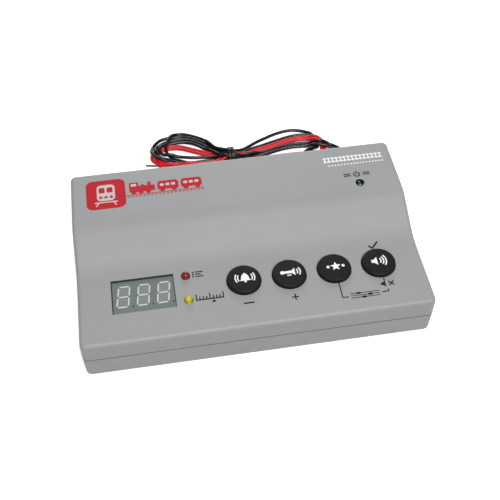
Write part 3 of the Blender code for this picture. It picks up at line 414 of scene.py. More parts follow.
# The turns of each wire in the hank: each stretch runs between two places in the tie, and a place
# without Z lies on the table.
TURNS = {
    "black_wire_1": [
        [(53.6, 54.8, 1.6), (54.0, 57.6, 0.9), (53.2, 61.2), (50.6, 64.3, 1.8), (46.8, 66.2, 3.1),
         (41.7, 67.4, 2.7), (36.5, 68.2, 1.0), (31.2, 68.2), (25.7, 67.3), (20.6, 66.3), (15.8, 65.2, 0.9),
         (11.1, 63.8, 1.8), (7.5, 63.2, 3.2), (4.7, 62.5, 4.8)],
        in_tie(2),
        [(2.1, 65.5, 4.8), (-1.0, 68.0, 4.0), (-4.9, 72.9, 2.2), (-8.0, 77.2, 0.9), (-11.9, 80.3),
         (-15.0, 82.0), (-17.5, 82.7), (-19.9, 82.2), (-22.0, 80.3, 1.6), (-23.7, 77.4, 2.4),
         (-24.8, 74.4, 2.4), (-24.9, 71.9, 2.0), (-24.1, 69.9, 0.9), (-22.6, 67.7), (-20.3, 65.3),
         (-17.0, 64.0), (-13.1, 63.6), (-8.6, 63.8), (-3.8, 63.6, 1.2), (0.2, 62.2, 2.3)],
        in_tie(9),
        [(9.5, 60.2, 1.6), (16.0, 58.0), (24.0, 56.6), (32.0, 57.4, 1.2), (37.6, 60.4, 2.3),
         (41.2, 64.2, 1.0), (42.8, 68.6), (41.9, 72.2), (40.0, 74.7), (38.1, 76.0), (34.7, 77.1),
         (31.1, 77.3), (27.4, 76.6), (23.6, 75.4), (19.7, 73.7), (15.9, 72.0), (12.0, 69.7, 1.4),
         (5.4, 65.4, 3.5)],
        in_tie(1),
        [(2.0, 65.2, 4.0), (-1.1, 67.1, 3.2), (-5.1, 71.1, 1.5), (-8.3, 74.6), (-12.2, 77.3), (-16.6, 78.9),
         (-19.9, 79.1), (-22.2, 78.8, 0.9), (-24.6, 78.1, 1.2), (-26.9, 76.9, 1.6), (-28.7, 75.1, 2.2),
         (-29.7, 73.2, 2.3), (-29.7, 71.1, 2.3), (-28.6, 69.3, 2.3), (-26.4, 67.9, 1.6), (-23.7, 66.3),
         (-20.7, 64.6), (-17.1, 62.9), (-13.4, 61.0), (-9.6, 58.8, 0.9), (-6.0, 56.6, 0.9), (-2.4, 54.7)],
    ],
    "black_wire_2": [
        [(51.8, 54.8, 1.6), (52.0, 57.2, 0.9), (51.2, 60.4), (48.9, 62.8, 1.8), (46.0, 64.2, 3.1),
         (41.3, 65.5, 2.7), (36.1, 66.2, 1.0), (30.8, 66.3), (25.4, 65.5), (20.3, 64.5), (15.6, 63.7),
         (10.9, 63.0, 1.6), (7.4, 62.3, 3.0), (4.5, 61.2, 4.6)],
        in_tie(3),
        [(1.8, 63.6, 5.0), (-1.3, 65.2, 4.4), (-5.4, 69.1, 2.4), (-8.5, 72.9, 1.0), (-12.4, 75.6),
         (-16.8, 77.1), (-20.1, 77.1), (-23.2, 76.8, 1.4), (-26.0, 75.7, 2.2), (-27.9, 73.6, 2.3),
         (-27.8, 71.2, 2.3), (-25.9, 69.7, 2.3), (-23.1, 69.0, 2.3), (-20.3, 68.4, 1.4), (-16.6, 67.5),
         (-12.8, 66.6), (-8.4, 66.2, 0.9), (-3.7, 65.0, 2.0), (0.3, 63.4, 3.4)],
        in_tie(5),
        [(9.5, 61.0, 2.4), (16.0, 59.6, 0.9), (24.0, 58.4), (32.0, 59.0, 1.6), (38.6, 61.8, 2.3),
         (43.0, 65.2, 1.0), (44.3, 68.4), (43.6, 70.6), (42.2, 71.7), (39.6, 72.9), (36.1, 73.4),
         (32.1, 73.2), (28.0, 72.4), (23.5, 70.8), (19.7, 69.6), (16.8, 68.6), (11.7, 67.8, 1.2),
         (5.4, 65.2, 2.5)],
        in_tie(6),
        [(2.2, 66.9, 2.9), (-0.9, 68.6, 2.5), (-5.0, 72.6, 1.2), (-8.1, 76.0), (-12.0, 78.8), (-16.4, 80.6),
         (-19.7, 80.9), (-22.0, 81.0), (-23.9, 80.9), (-26.2, 80.3, 0.9), (-28.6, 78.6, 1.2),
         (-30.5, 75.9, 2.0), (-31.3, 73.2, 2.3), (-31.0, 70.4, 2.3), (-29.5, 68.1, 2.3), (-26.9, 66.2, 1.6),
         (-23.9, 64.6), (-20.8, 63.0), (-17.1, 61.2), (-13.6, 59.0), (-10.0, 56.8, 0.9), (-6.0, 54.4)],
    ],
    "red_wire_1": [
        [(48.8, 55.6, 0.9), (46.2, 59.2), (40.2, 61.3), (31.0, 62.2), (22.0, 62.0), (13.0, 62.0, 1.2)],
        in_tie(7),
        [(0.6, 65.7, 2.4), (-1.8, 66.9, 1.8), (-5.5, 68.7, 0.9), (-8.9, 69.9), (-12.9, 71.9), (-17.1, 74.2),
         (-20.3, 75.1), (-24.0, 75.2), (-27.6, 74.4), (-30.3, 72.4), (-31.7, 69.8), (-31.3, 67.4),
         (-30.2, 65.9), (-28.7, 64.5), (-26.9, 63.3), (-24.8, 62.4), (-20.0, 60.6), (-14.0, 60.2),
         (-8.0, 60.4), (-2.0, 61.2, 1.0)],
        in_tie(12),
        [(9.5, 60.0, 0.9), (15.5, 56.2), (24.0, 53.8), (33.0, 53.8), (40.6, 56.6, 1.2), (45.2, 61.0, 2.2),
         (46.4, 65.2, 1.4), (44.8, 68.7, 2.1), (42.4, 70.9, 2.3), (39.1, 72.1, 1.4), (33.7, 72.2),
         (27.8, 70.8), (22.5, 69.0), (18.7, 67.8), (15.0, 66.7), (10.2, 64.8, 0.9), (5.9, 64.0, 2.2)],
        in_tie(4),
        [(-3.0, 60.6, 2.2), (-9.0, 59.2, 2.0), (-15.0, 58.6, 1.6), (-20.0, 58.6, 0.9), (-25.0, 59.0),
         (-29.0, 59.8), (-32.8, 60.8)],
    ],
    "red_wire_2": [
        [(47.0, 54.4, 0.9), (44.4, 57.4), (39.4, 59.4), (31.0, 60.6), (21.0, 60.4), (12.5, 60.8, 1.2)],
        in_tie(8),
        [(0.5, 65.0, 2.4), (-1.9, 66.0, 1.8), (-5.6, 67.5, 0.9), (-9.1, 68.3), (-13.0, 70.3), (-17.3, 72.6),
         (-20.4, 73.5), (-24.0, 73.6), (-27.2, 72.8), (-29.4, 71.0), (-30.2, 69.0), (-29.2, 67.0),
         (-27.4, 65.5), (-25.2, 64.3), (-23.1, 63.2), (-19.5, 62.0), (-14.0, 61.8), (-8.0, 62.0),
         (-2.0, 62.4, 1.0)],
        in_tie(11),
        [(9.5, 59.8, 0.9), (15.0, 55.0), (24.0, 52.2), (32.6, 52.2), (39.4, 55.4, 1.2), (43.6, 59.8, 2.2),
         (44.9, 64.4, 1.4), (43.5, 67.6, 2.1), (41.7, 69.3, 2.3), (38.7, 70.4, 1.4), (33.4, 70.6),
         (27.5, 69.4), (22.2, 67.7), (18.5, 66.4), (14.8, 65.4), (10.0, 64.0), (5.9, 64.5, 1.2)],
        in_tie(10),
        [(-3.0, 61.4, 2.2), (-9.0, 61.2, 2.3), (-15.0, 61.6, 2.3), (-20.0, 62.4, 2.3), (-24.0, 62.9, 2.3),
         (-28.0, 63.7, 1.0), (-28.8, 63.9)],
    ],
}


def evenly_spaced(points, spacing):
    """Points that far apart on a smooth curve through the given ones."""
    knots = np.array(points, float)
    knots = np.vstack([2 * knots[0] - knots[1], knots, 2 * knots[-1] - knots[-2]])
    fine = []
    for a, b, c, d in zip(knots, knots[1:], knots[2:], knots[3:]):
        for t in np.arange(0.0, 1.0, 0.3 / max(np.linalg.norm(c - b), 0.3)):
            fine.append(0.5 * (2 * b + (c - a) * t + (2 * a - 5 * b + 4 * c - d) * t**2
                               + (3 * b - a - 3 * c + d) * t**3))
    fine.append(knots[-2])
    fine = np.array(fine)
    along = np.r_[0.0, np.cumsum(np.linalg.norm(np.diff(fine, axis=0), axis=1))]
    places = np.linspace(0.0, along[-1], round(along[-1] / spacing) + 1)
    return np.stack([np.interp(places, along, fine[:, axis]) for axis in range(3)], 1)


# In each round a free point gives up part of its bend, goes part of the way back to its drawn
# place, and sinks by a little.
EASE, HOLD, HOLD_DOWN, SINK = 0.5, 0.05, 0.02, 0.02


def settle(lines, held_at_start=34, held_at_end=3, rounds=260):
    """Lays the wires on the table and beside each other, a diameter apart, as springy wire lies."""
    apart = WIRE_DIAMETER + WIRE_GAP
    radius = WIRE_DIAMETER / 2
    spots = np.concatenate(lines)
    first = spots.copy()
    wire = np.concatenate([np.full(len(line), i) for i, line in enumerate(lines)])
    index = np.concatenate([np.arange(len(line)) for line in lines])
    left = np.concatenate([np.arange(len(line))[::-1] for line in lines])
    free = ((index >= held_at_start) & (left >= held_at_end))[:, None]
    apart_on_wire = (wire[:, None] != wire[None, :]) | (abs(index[:, None] - index[None, :]) > 5)
    for turn in range(rounds):
        smooth = spots.copy()
        smooth[2:-2] = (-spots[:-4] + 4 * spots[1:-3] + 4 * spots[3:-1] - spots[4:]) / 6
        spots = spots + np.where(free, smooth - spots, 0) * EASE
        spots[:, :2] += np.where(free, first[:, :2] - spots[:, :2], 0) * HOLD
        fall = (np.minimum(first[:, 2], spots[:, 2]) - spots[:, 2]) * HOLD_DOWN - SINK
        spots[:, 2] += np.where(free[:, 0], fall, 0)
        if turn % 4 == 0:
            gaps = ((spots[:, None, :] - spots[None, :, :]) ** 2).sum(-1)
            one, other = np.nonzero(np.triu((gaps < (apart + 1.2) ** 2) & apart_on_wire, 1))
        for _ in range(2):
            away = spots[one] - spots[other]
            gap = np.maximum(np.sqrt((away**2).sum(1)), 1e-6)
            near = gap < apart
            push = away[near] * ((apart - gap[near]) / gap[near] * 0.5)[:, None]
            moved = np.zeros_like(spots)
            count = np.zeros(len(spots))
            for ends, sign in ((one[near], 1.0), (other[near], -1.0)):
                np.add.at(moved, ends, push * sign)
                np.add.at(count, ends, 1)
            spots = spots + np.where(free, moved / np.maximum(count, 1)[:, None], 0)
            spots[:, 2] = np.where(free[:, 0], np.maximum(spots[:, 2], radius + TABLE_GAP), spots[:, 2])
            spots = held_by_tie(spots, radius)
    for _ in range(2):
        soft = spots.copy()
        soft[1:-1] = (spots[:-2] + 2 * spots[1:-1] + spots[2:]) / 4
        spots = np.where(free, soft, spots)
    ends = np.cumsum([len(line) for line in lines])[:-1]
    return np.split(spots, ends)


def held_by_tie(spots, radius):
    """Brings the points near the tie's plane inside its loop."""
    x, y, z = TIE_CENTRE
    wide, high = TIE_INSIDE[0] - radius, TIE_INSIDE[1] - radius
    reach = np.hypot((spots[:, 1] - y) / wide, (spots[:, 2] - z) / high)
    held = (abs(spots[:, 0] - x) < TIE_REACH) & (reach > 1)
    spots[held, 1] = y + (spots[held, 1] - y) / reach[held]
    spots[held, 2] = z + (spots[held, 2] - z) / reach[held]
    return spots


def make_wire(name, line):
    """One insulated wire as a round tube along its line."""
    curve = bpy.data.curves.new(f"{name}_sleeve", "CURVE")
    curve.dimensions = "3D"
    curve.bevel_depth = WIRE_DIAMETER / 2 * MM
    curve.bevel_resolution = 4
    curve.use_fill_caps = True
    spline = curve.splines.new("POLY")
    spline.points.add(len(line) - 1)
    for point, place in zip(spline.points, line):
        point.co = (*(float(v) * MM for v in place), 1.0)
    slot = "black_insulation" if name.startswith("black") else "red_insulation"
    curve.materials.append(MATERIALS[slot])
    wire = bpy.data.objects.new(f"{name}_sleeve", curve)
    bpy.context.scene.collection.objects.link(wire)
    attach(wire, "case")
    extra = ("wire_hank",) if name == "black_wire_1" else ()
    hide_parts(name, *extra)


def make_bare_end(name, start, way):
    """Seven tinned strands, twisted, standing out of the cut sleeve."""
    way = Vector(way).normalized()
    across = way.cross(Vector((0, 0, 1))).normalized()
    above = across.cross(way)
    start = Vector(start)
    bm = bmesh.new()
    angles = [2 * math.pi * side / 6 for side in range(6)]
    for number in range(7):
        orbit = 0.0 if number == 0 else STRAND_ORBIT
        reach = BARE_LENGTH - 0.35 * (number % 3)
        rings = []
        for step in range(25):
            at = reach * step / 24
            turn = math.radians(60 * number + 95 * at)
            spread = orbit * (1 + 0.25 * (at / BARE_LENGTH) ** 3)
            middle = start + way * (at - 0.4) + (across * math.cos(turn) + above * math.sin(turn)) * spread
            ways = [across * math.cos(a) + above * math.sin(a) for a in angles]
            rings.append([bm.verts.new(middle + out * STRAND_RADIUS) for out in ways])
        join_rings(bm, rings)
    piece = new_piece(f"{name}_strands", mesh_of(bm), MATERIALS["tinned_copper"], "case", 60)
    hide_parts(f"{name}_bare_end")
    return piece


def route_of(name):
    """Every place of one wire, as (X, Y, Z)."""
    turns = [place for stretch in TURNS[name] for place in stretch]
    return LEADS[name] + [place if len(place) == 3 else (*place, ON_TABLE) for place in turns]


def make_wires():
    lines = settle([evenly_spaced(route_of(name), WIRE_STEP) for name in LEADS])
    for name, line in zip(LEADS, lines):
        way = line[-1] - line[-4]
        tip = make_bare_end(name, line[-1], (way[0], way[1], 0.0))
        make_wire(name, line)


def make_tie():
    """Two turns of flat black tie round the hank, with the short twisted ends behind it."""
    x, y, z = TIE_CENTRE
    bm = bmesh.new()
    thick, half = 0.42, 0.6
    section = [(-half, 0.02), (-half + 0.12, 0.0), (half - 0.12, 0.0), (half, 0.02),
               (half, thick - 0.08), (half - 0.16, thick), (-half + 0.16, thick), (-half, thick - 0.08)]
    for shift in (-0.72, 0.72):
        rings = []
        for step in range(72):
            t = 2 * math.pi * step / 72
            sway = 0.08 * math.sin(2 * t + shift)
            rings.append([bm.verts.new((x + shift + sway + across,
                                        y + (TIE_INSIDE[0] + out) * math.cos(t),
                                        z + (TIE_INSIDE[1] + out) * math.sin(t))) for across, out in section])
        join_rings(bm, rings, around=True)
    round_end = [(0.3 * math.cos(s), 0.0, 0.3 * math.sin(s)) for s in (math.pi * k / 4 for k in range(8))]
    for turn in (0.0, math.pi):
        rings = []
        for step in range(33):
            at = step / 32
            a = turn + at * 2.0 * math.pi
            middle = Vector((x + 0.42 * math.cos(a) + 1.4 * at**2, y + 3.2 + 2.4 * at,
                             0.95 + 1.9 * (1 - at)**3 + 0.36 * math.sin(a)))
            rings.append([bm.verts.new(middle + Vector(spot)) for spot in round_end])
        join_rings(bm, rings)
    tie = new_piece("hank_tie_wraps", mesh_of(bm), MATERIALS["tie_nylon"], "case", 40)
    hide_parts("hank_tie")


make_wires()
make_tie()

# ---------------- carried-over nodes


def finish_nodes():
    """Every CAD node that stays takes the detailed material of its slot."""
    for part in frame["record"]["subparts"]:
        obj = frame["nodes"].get(part["node"])
        if obj is None:
            continue
        material = MATERIALS[part["material_slot"]]
        for slot in obj.material_slots:
            slot.material = material


finish_nodes()

# ---------------- print on the case

BUTTON_NAMES = ("bell", "horn", "aux", "volume")
INK_RAISE = 0.035
INK_DEPTH = 0.02
SHAPE_RISE = 0.0008
CAST_FROM = 60.0


class Print:
    """Flat ink shapes, each dropped on the surface under it."""

    def __init__(self, surface, raise_by=INK_RAISE):
        self.bm = bmesh.new()
        self.surface = surface
        self.raise_by = raise_by
        self.shapes = 0

    def height(self, x, y):
        hit, place, _, _ = self.surface.ray_cast(
            Vector((x, y, CAST_FROM)) * MM, Vector((0, 0, -1)))
        return place.z / MM if hit else 0.0

    def shape(self, outline):
        """A filled outline with a thin edge, each shape a hair above the last."""
        self.shapes += 1
        up = self.raise_by + SHAPE_RISE * self.shapes
        top = [self.bm.verts.new((x, y, self.height(x, y) + up)) for x, y in outline]
        foot = [self.bm.verts.new((v.co.x, v.co.y, v.co.z - up - INK_DEPTH)) for v in top]
        self.bm.faces.new(top)
        self.bm.faces.new(foot[::-1])
        for i in range(len(top)):
            j = (i + 1) % len(top)
            self.bm.faces.new((top[i], foot[i], foot[j], top[j]))

    def disc(self, x, y, radius, steps):
        self.shape(arc(x, y, radius, 0, 360 * (1 - 1 / steps), steps - 1))

    def ring(self, x, y, radius, width, start, end, steps):
        """A band along an arc, as short overlapping quads."""
        for i in range(steps):
            a = start + (end - start) * i / steps
            b = start + (end - start) * (i + 1.06) / steps
            outer = arc(x, y, radius + width / 2, a, b, 1)
            inner = arc(x, y, radius - width / 2, a, b, 1)
            self.shape([*outer, *inner[::-1]])

    def line(self, x0, y0, x1, y1, width):
        length = math.hypot(x1 - x0, y1 - y0)
        across = Vector((-(y1 - y0), x1 - x0)) / length * width / 2
        self.shape([(x0 - across.x, y0 - across.y), (x1 - across.x, y1 - across.y),
                    (x1 + across.x, y1 + across.y), (x0 + across.x, y0 + across.y)])

    def path(self, *points, width):
        for (x0, y0), (x1, y1) in zip(points, points[1:]):
            self.line(x0, y0, x1, y1, width)
        for x, y in points[1:-1]:
            self.disc(x, y, width / 2, 10)

    def box(self, x0, y0, x1, y1, corner):
        """A rectangle with round corners."""
        self.shape(rounded_box(x0, y0, x1, y1, corner, 4))

    def done(self, name, material, body):
        new_piece(name, mesh_of(self.bm), material, body)


TOP = frame["nodes"]["top_cover"]


def speaker(ink, x, y, s):
    """A loudspeaker of that size, seen from the side and facing right."""
    ink.shape([(x - 0.50 * s, y - 0.17 * s), (x - 0.26 * s, y - 0.17 * s), (x + 0.06 * s, y - 0.46 * s),
               (x + 0.06 * s, y + 0.46 * s), (x - 0.26 * s, y + 0.17 * s), (x - 0.50 * s, y + 0.17 * s)])


def print_panel():
    """The dark marks beside the buttons and lamps: signs and small pictograms, no words."""
    ink = Print(TOP)
    left, plus, aux, volume = (node_centre(f"{n}_button")[0] for n in BUTTON_NAMES)
    row = node_centre("bell_button")[1]
    signs = row - 10.05
    ink.line(left - 1.6, signs, left + 2.4, signs, 0.6)
    ink.line(plus - 0.85, signs, plus + 1.75, signs, 0.5)
    ink.line(plus + 0.45, signs - 1.35, plus + 0.45, signs + 1.35, 0.5)
    # The bracket that joins the third and fourth buttons to the settings mark.
    ink.path((aux + 0.35, row - 6.6), (aux + 0.35, row - 13.1), (aux + 2.6, row - 13.1), width=0.42)
    ink.path((volume - 1.8, row - 12.8), (volume + 0.6, row - 12.8), (volume + 0.6, row - 11.8), width=0.42)
    ink.line(volume + 0.2, row - 8.0, volume + 0.2, row - 6.8, 0.46)
    # Settings: three sliders with their knobs.
    for number, knob in enumerate((6.4, 10.6, 8.2)):
        y = row - 12.0 - 0.95 * number
        ink.line(aux + 3.4, y, aux + 14.2, y, 0.28)
        ink.box(aux + knob - 0.8, y - 0.42, aux + knob + 0.8, y + 0.42, 0.15)
    # Confirm: a tick above the fourth button.
    ink.path((volume - 1.7, row + 8.7), (volume - 0.4, row + 7.5), (volume + 2.1, row + 10.1), width=0.62)
    # Silence: a crossed loudspeaker.
    speaker(ink, volume + 0.1, row - 9.4, 3.1)
    for lean in (-1, 1):
        ink.line(volume + 1.5, row - 9.4 - lean * 0.95, volume + 3.4, row - 9.4 + lean * 0.95, 0.5)
    # Upper lamp: a short list; lower lamp: a graduated scale.
    lamp_x, upper = node_centre("upper_indicator_led")[:2]
    lower = node_centre("lower_indicator_led")[1]
    for number in range(3):
        y = upper + 1.35 - 1.0 * number
        ink.disc(lamp_x + 2.75, y, 0.36, 10)
        ink.line(lamp_x + 3.6, y, lamp_x + 6.5 - 0.8 * (number == 1), y, 0.46)
    ink.line(lamp_x + 2.6, lower - 0.6, lamp_x + 12.8, lower - 0.6, 0.5)
    for number in range(9):
        x = lamp_x + 2.8 + 1.225 * number
        ink.line(x, lower - 0.6, x, lower + (1.95 if number % 4 == 0 else 0.85), 0.42)
    ink.shape([(lamp_x + 9.0, lower - 1.0), (lamp_x + 9.8, lower - 2.2), (lamp_x + 8.2, lower - 2.2)])
    ink.done("panel_marks", DARK_INK, "case")


def print_power():
    """The on-off sign over the power lamp, between two pairs of bars."""
    ink = Print(TOP)
    x, y = node_centre("power_led")[:2]
    x, y = x - 0.2, y + 4.7
    ink.ring(x, y, 1.15, 0.5, -235, 55, 18)
    ink.line(x, y + 0.1, x, y + 1.7, 0.5)
    for side in (-1, 1):
        for up in (-0.5, 0.5):
            ink.line(x + side * 2.5, y + up, x + side * 5.2, y + up, 0.5)
    ink.done("power_mark", DARK_INK, "case")


def print_track():
    """A white stretch of railway track at the rear right corner, with a dotted line under it."""
    ink = Print(TOP)
    x0, x1, low, high = 36.2, 60.2, 28.9, 31.9
    for y in (low + 0.55, high - 0.55):
        ink.line(x0, y, x1, y, 0.46)
    count = 15
    for number in range(count):
        x = x0 + 0.7 + (x1 - x0 - 1.4) * number / (count - 1)
        ink.box(x - 0.26, low, x + 0.26, high, 0.1)
    for number in range(18):
        x = x0 + 1.4 + 1.28 * number
        ink.line(x, 27.15, x + 0.75, 27.15, 0.52)
    ink.done("track_mark", WHITE_INK, "case")


def print_train():
    """A plain red train at the rear left corner: a front view in a panel, and a side view."""
    ink = Print(TOP)
    left, low, size = -58.3, 18.2, 15.2
    ink.box(left, low, left + size, low + size, 2.6)
    # Engine and two wagons, running on a thin rail.
    y = 25.2
    ink.box(-41.6, y, -31.6, y + 3.1, 0.5)
    ink.box(-41.6, y + 2.4, -38.0, y + 5.2, 0.5)
    ink.box(-34.4, y + 2.6, -33.1, y + 4.9, 0.3)
    ink.disc(-36.4, y + 3.1, 0.75, 16)
    for start in (-30.6, -21.4):
        ink.box(start, y, start + 8.2, y + 3.9, 0.6)
        ink.box(start + 0.4, y + 3.6, start + 7.8, y + 4.5, 0.4)
    for x in (-39.9, -37.1, -34.3, -28.8, -24.2, -19.6, -15.0):
        ink.disc(x, y - 0.15, 1.05, 16)
    ink.line(-43.0, y - 1.45, -12.9, y - 1.45, 0.32)
    for number in range(20):
        x = -42.4 + 1.52 * number
        ink.line(x, y - 2.25, x + 0.8, y - 2.25, 0.5)
    ink.done("train_mark", RED_INK, "case")
    light = Print(TOP, INK_RAISE + 0.05)
    middle = left + size / 2
    light.box(middle - 3.5, low + 4.2, middle + 3.5, low + 12.6, 1.7)
    light.line(middle - 4.4, low + 3.4, middle + 4.4, low + 3.4, 0.55)
    light.line(middle - 2.6, low + 3.6, middle - 3.9, low + 1.5, 0.5)
    light.line(middle + 2.6, low + 3.6, middle + 3.9, low + 1.5, 0.5)
    light.done("train_front_mark", PALE_INK, "case")
    over = Print(TOP, INK_RAISE + 0.1)
    for side in (-1, 1):
        over.box(middle + side * 1.55 - 1.15, low + 8.3, middle + side * 1.55 + 1.15, low + 11.1, 0.5)
        over.disc(middle + side * 2.0, low + 6.0, 0.68, 14)
    over.box(middle - 0.7, low + 5.5, middle + 0.7, low + 6.5, 0.2)
    over.done("train_front_details", RED_INK, "case")
    panes = Print(TOP, INK_RAISE + 0.05)
    panes.box(-40.9, y + 3.1, -38.8, y + 4.4, 0.2)
    for start in (-29.6, -20.4):
        for number in range(3):
            panes.box(start + 2.2 * number, y + 1.7, start + 2.2 * number + 1.5, y + 3.0, 0.25)
    panes.done("train_windows", PALE_INK, "case")


print_panel()
print_power()
print_track()
print_train()

# ---------------- buttons

CAP_RADIUS = 6.3
CAP_EDGE_RADIUS = 0.55
FLANGE_RADIUS = 7.2
STEM_SOCKET_RADIUS = 1.85


def cap_profile(top, skirt):
    """From the crown down the wall and under the flange, back to the axis."""
    r = CAP_RADIUS
    crown = [(5.55 * i / 6, top - 0.10 * (i / 6) ** 2) for i in range(7)]
    edge = arc(r - CAP_EDGE_RADIUS, top - 0.65, CAP_EDGE_RADIUS, 80, 0, 6)
    flange = [(r + 0.02, skirt + 0.8), (FLANGE_RADIUS - 0.05, skirt + 0.78), (FLANGE_RADIUS, skirt + 0.5),
              (FLANGE_RADIUS - 0.05, skirt + 0.02), (r - 1.2, skirt)]
    socket = [(r - 1.2, top - 1.4), (3.0, top - 1.4), (3.0, skirt + 0.3), (STEM_SOCKET_RADIUS, skirt + 0.3),
              (STEM_SOCKET_RADIUS, top - 1.62), (0.0, top - 1.62)]
    return [*crown, *edge, (r, top - 3.0), *flange, *socket]


def make_cap(name):
    node = f"{name}_button"
    x, y, _ = node_centre(node)
    top = node_top(node)
    bm = bmesh.new()
    add_turned(bm, cap_profile(top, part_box(node)[0][2] / MM), (x, y, 0.0), 72)
    if name == "horn":
        # A trace of the sprue is left on this cap's rear edge.
        pip = [(0.0, top - 0.18), (0.2, top - 0.2), (0.28, top - 0.4), (0.26, top - 1.5), (0.0, top - 1.5)]
        add_turned(bm, pip, (x - 0.1, y + 6.2, 0.0), 12)
    slot = "button_plastic"
    cap = new_piece(f"{name}_cap", mesh_of(bm), MATERIALS[slot], f"{name}_key", 35)
    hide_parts(node)
    return cap


def bell_icon(ink, x, y):
    body = [(x - 2.1, y - 1.25), (x - 1.65, y - 0.8), (x - 1.4, y + 0.3), *arc(x, y + 0.5, 1.3, 165, 15, 8),
            (x + 1.4, y + 0.3), (x + 1.65, y - 0.8), (x + 2.1, y - 1.25)]
    ink.shape(body)
    ink.disc(x, y - 1.6, 0.48, 12)
    ink.disc(x, y + 1.9, 0.36, 12)
    for side in (0, 180):
        for radius in (2.7, 3.6):
            ink.ring(x, y + 0.1, radius, 0.48, side - 30, side + 30, 8)


def horn_icon(ink, x, y):
    ink.shape([(x - 2.9, y - 0.5), (x + 0.4, y - 0.62), (x + 1.6, y - 1.7), (x + 1.6, y + 1.7),
               (x + 0.4, y + 0.62), (x - 2.9, y + 0.5)])
    ink.disc(x - 3.1, y, 0.82, 14)
    ink.line(x - 1.5, y - 1.4, x + 0.1, y - 1.4, 0.48)
    for radius in (1.6, 2.6):
        ink.ring(x + 1.0, y, radius, 0.48, -38, 38, 8)


def aux_icon(ink, x, y):
    star = []
    for number in range(10):
        reach = 2.05 if number % 2 == 0 else 0.9
        a = math.radians(90 + 36 * number)
        star.append((x + reach * math.cos(a), y + reach * math.sin(a)))
    ink.shape(star)
    for side in (-1, 1):
        ink.disc(x + side * 2.85, y, 0.62, 14)


def volume_icon(ink, x, y):
    speaker(ink, x - 1.2, y, 4.0)
    for number in range(3):
        ink.ring(x - 1.1, y, 1.55 + 1.0 * number, 0.5, -40, 40, 8)


def make_buttons():
    icons = {"bell": bell_icon, "horn": horn_icon, "aux": aux_icon, "volume": volume_icon}
    shifts = {"bell": 0.4, "horn": 0.5, "aux": 0.5, "volume": 0.4}
    for name, icon in icons.items():
        cap = make_cap(name)
        bpy.context.view_layer.update()
        ink = Print(cap)
        x, y, _ = node_centre(f"{name}_button")
        icon(ink, x + shifts[name], y + 0.15)
        ink.done(f"{name}_sign", WHITE_INK, f"{name}_key")


make_buttons()

# ---------------- display

SEGMENT_LEAN = math.tan(math.radians(7.0))
DIGIT_WIDTH, DIGIT_HEIGHT, DIGIT_PITCH = 4.6, 9.5, 7.3
SEGMENT_WIDTH, SEGMENT_GAP = 0.52, 0.28
DIGITS_SHIFT = (-0.03, 0.12)


def segment_outlines(x, y):
    """The seven bars of a digit centred at x, y, with mitred ends."""
    w, h, t, gap = DIGIT_WIDTH / 2, DIGIT_HEIGHT / 2, SEGMENT_WIDTH / 2, SEGMENT_GAP
    level = [(-w + gap + t, 0), (-w + gap + 2 * t, t), (w - gap - 2 * t, t), (w - gap - t, 0),
             (w - gap - 2 * t, -t), (-w + gap + 2 * t, -t)]
    upright = [(0, gap + t / 2), (t, gap + 1.5 * t), (t, h - gap - 2.5 * t), (0, h - gap - 1.5 * t),
               (-t, h - gap - 2.5 * t), (-t, gap + 1.5 * t)]
    made = [[(px, py + at) for px, py in level] for at in (-h + t, 0.0, h - t)]
    for side in (-w + t, w - t):
        made.append([(px + side, py) for px, py in upright])
        made.append([(px + side, -py) for px, py in upright])
    return [[(x + px + SEGMENT_LEAN * py, y + py) for px, py in outline] for outline in made]


def make_display():
    """The module's face with three unlit digits, their light chambers and their points."""
    low, high = (Vector(corner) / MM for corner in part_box("display_module"))
    node = frame["nodes"]["display_module"]
    middle = ((low.x + high.x) / 2, (low.y + high.y) / 2)
    chambers = Print(node, 0.03)
    bars = Print(node, 0.10)
    points = Print(node, 0.05)
    for number in (-1, 0, 1):
        x, y = middle[0] + DIGIT_PITCH * number + DIGITS_SHIFT[0], middle[1] + DIGITS_SHIFT[1]
        w, h = DIGIT_WIDTH / 2 - SEGMENT_WIDTH * 0.75, DIGIT_HEIGHT / 2 - SEGMENT_WIDTH * 0.75
        for part in (0, 1):
            y0, y1 = (-h, -SEGMENT_WIDTH * 0.45) if part == 0 else (SEGMENT_WIDTH * 0.45, h)
            corners = ((-w, y0), (w, y0), (w, y1), (-w, y1))
            chambers.shape([(x + px + SEGMENT_LEAN * py, y + py) for px, py in corners])
        for outline in segment_outlines(x, y):
            bars.shape(outline)
        points.disc(x + DIGIT_WIDTH / 2 + 0.95, y - DIGIT_HEIGHT / 2 + 0.2, 0.32, 14)
    chambers.done("digit_chambers", CHAMBER, "case")
    bars.done("digit_segments", SEGMENT, "case")
    points.done("digit_points", MATERIALS["switch_plastic"], "case")


def make_gap_shade_strip():
    """A black strip between the module and its window, along the rear and both sides: painted shade standing
    in for the shadow down the gap.
    """
    low, high = (Vector(corner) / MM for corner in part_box("display_module"))
    surface = Print(TOP).height(high.x + 2.0, high.y + 2.0)
    gap = 0.02
    left, right, rear = low.x - 0.36, high.x + 0.15, high.y + 0.55
    outline = [(left, low.y), (low.x - gap, low.y), (low.x - gap, high.y + gap), (high.x + gap, high.y + gap),
               (high.x + gap, low.y), (right, low.y), (right, rear), (left, rear)]
    bm = bmesh.new()
    join_rings(bm, [[bm.verts.new((x, y, z)) for x, y in outline] for z in (surface - 1.7, surface - 0.12)])
    # Black rubber here is painted shade for the dark gap round the module.
    new_piece("display_gap_shade", mesh_of(bm), MATERIALS["rubber"], "case")


make_display()
make_gap_shade_strip()

# ---------------- the seam, with a painted shadow along it

SEAM_LEVEL = 10.8
SEAM_PROUD, SEAM_DEPTH = 0.02, 0.8
CASE_CORNER_RADIUS = 2.2


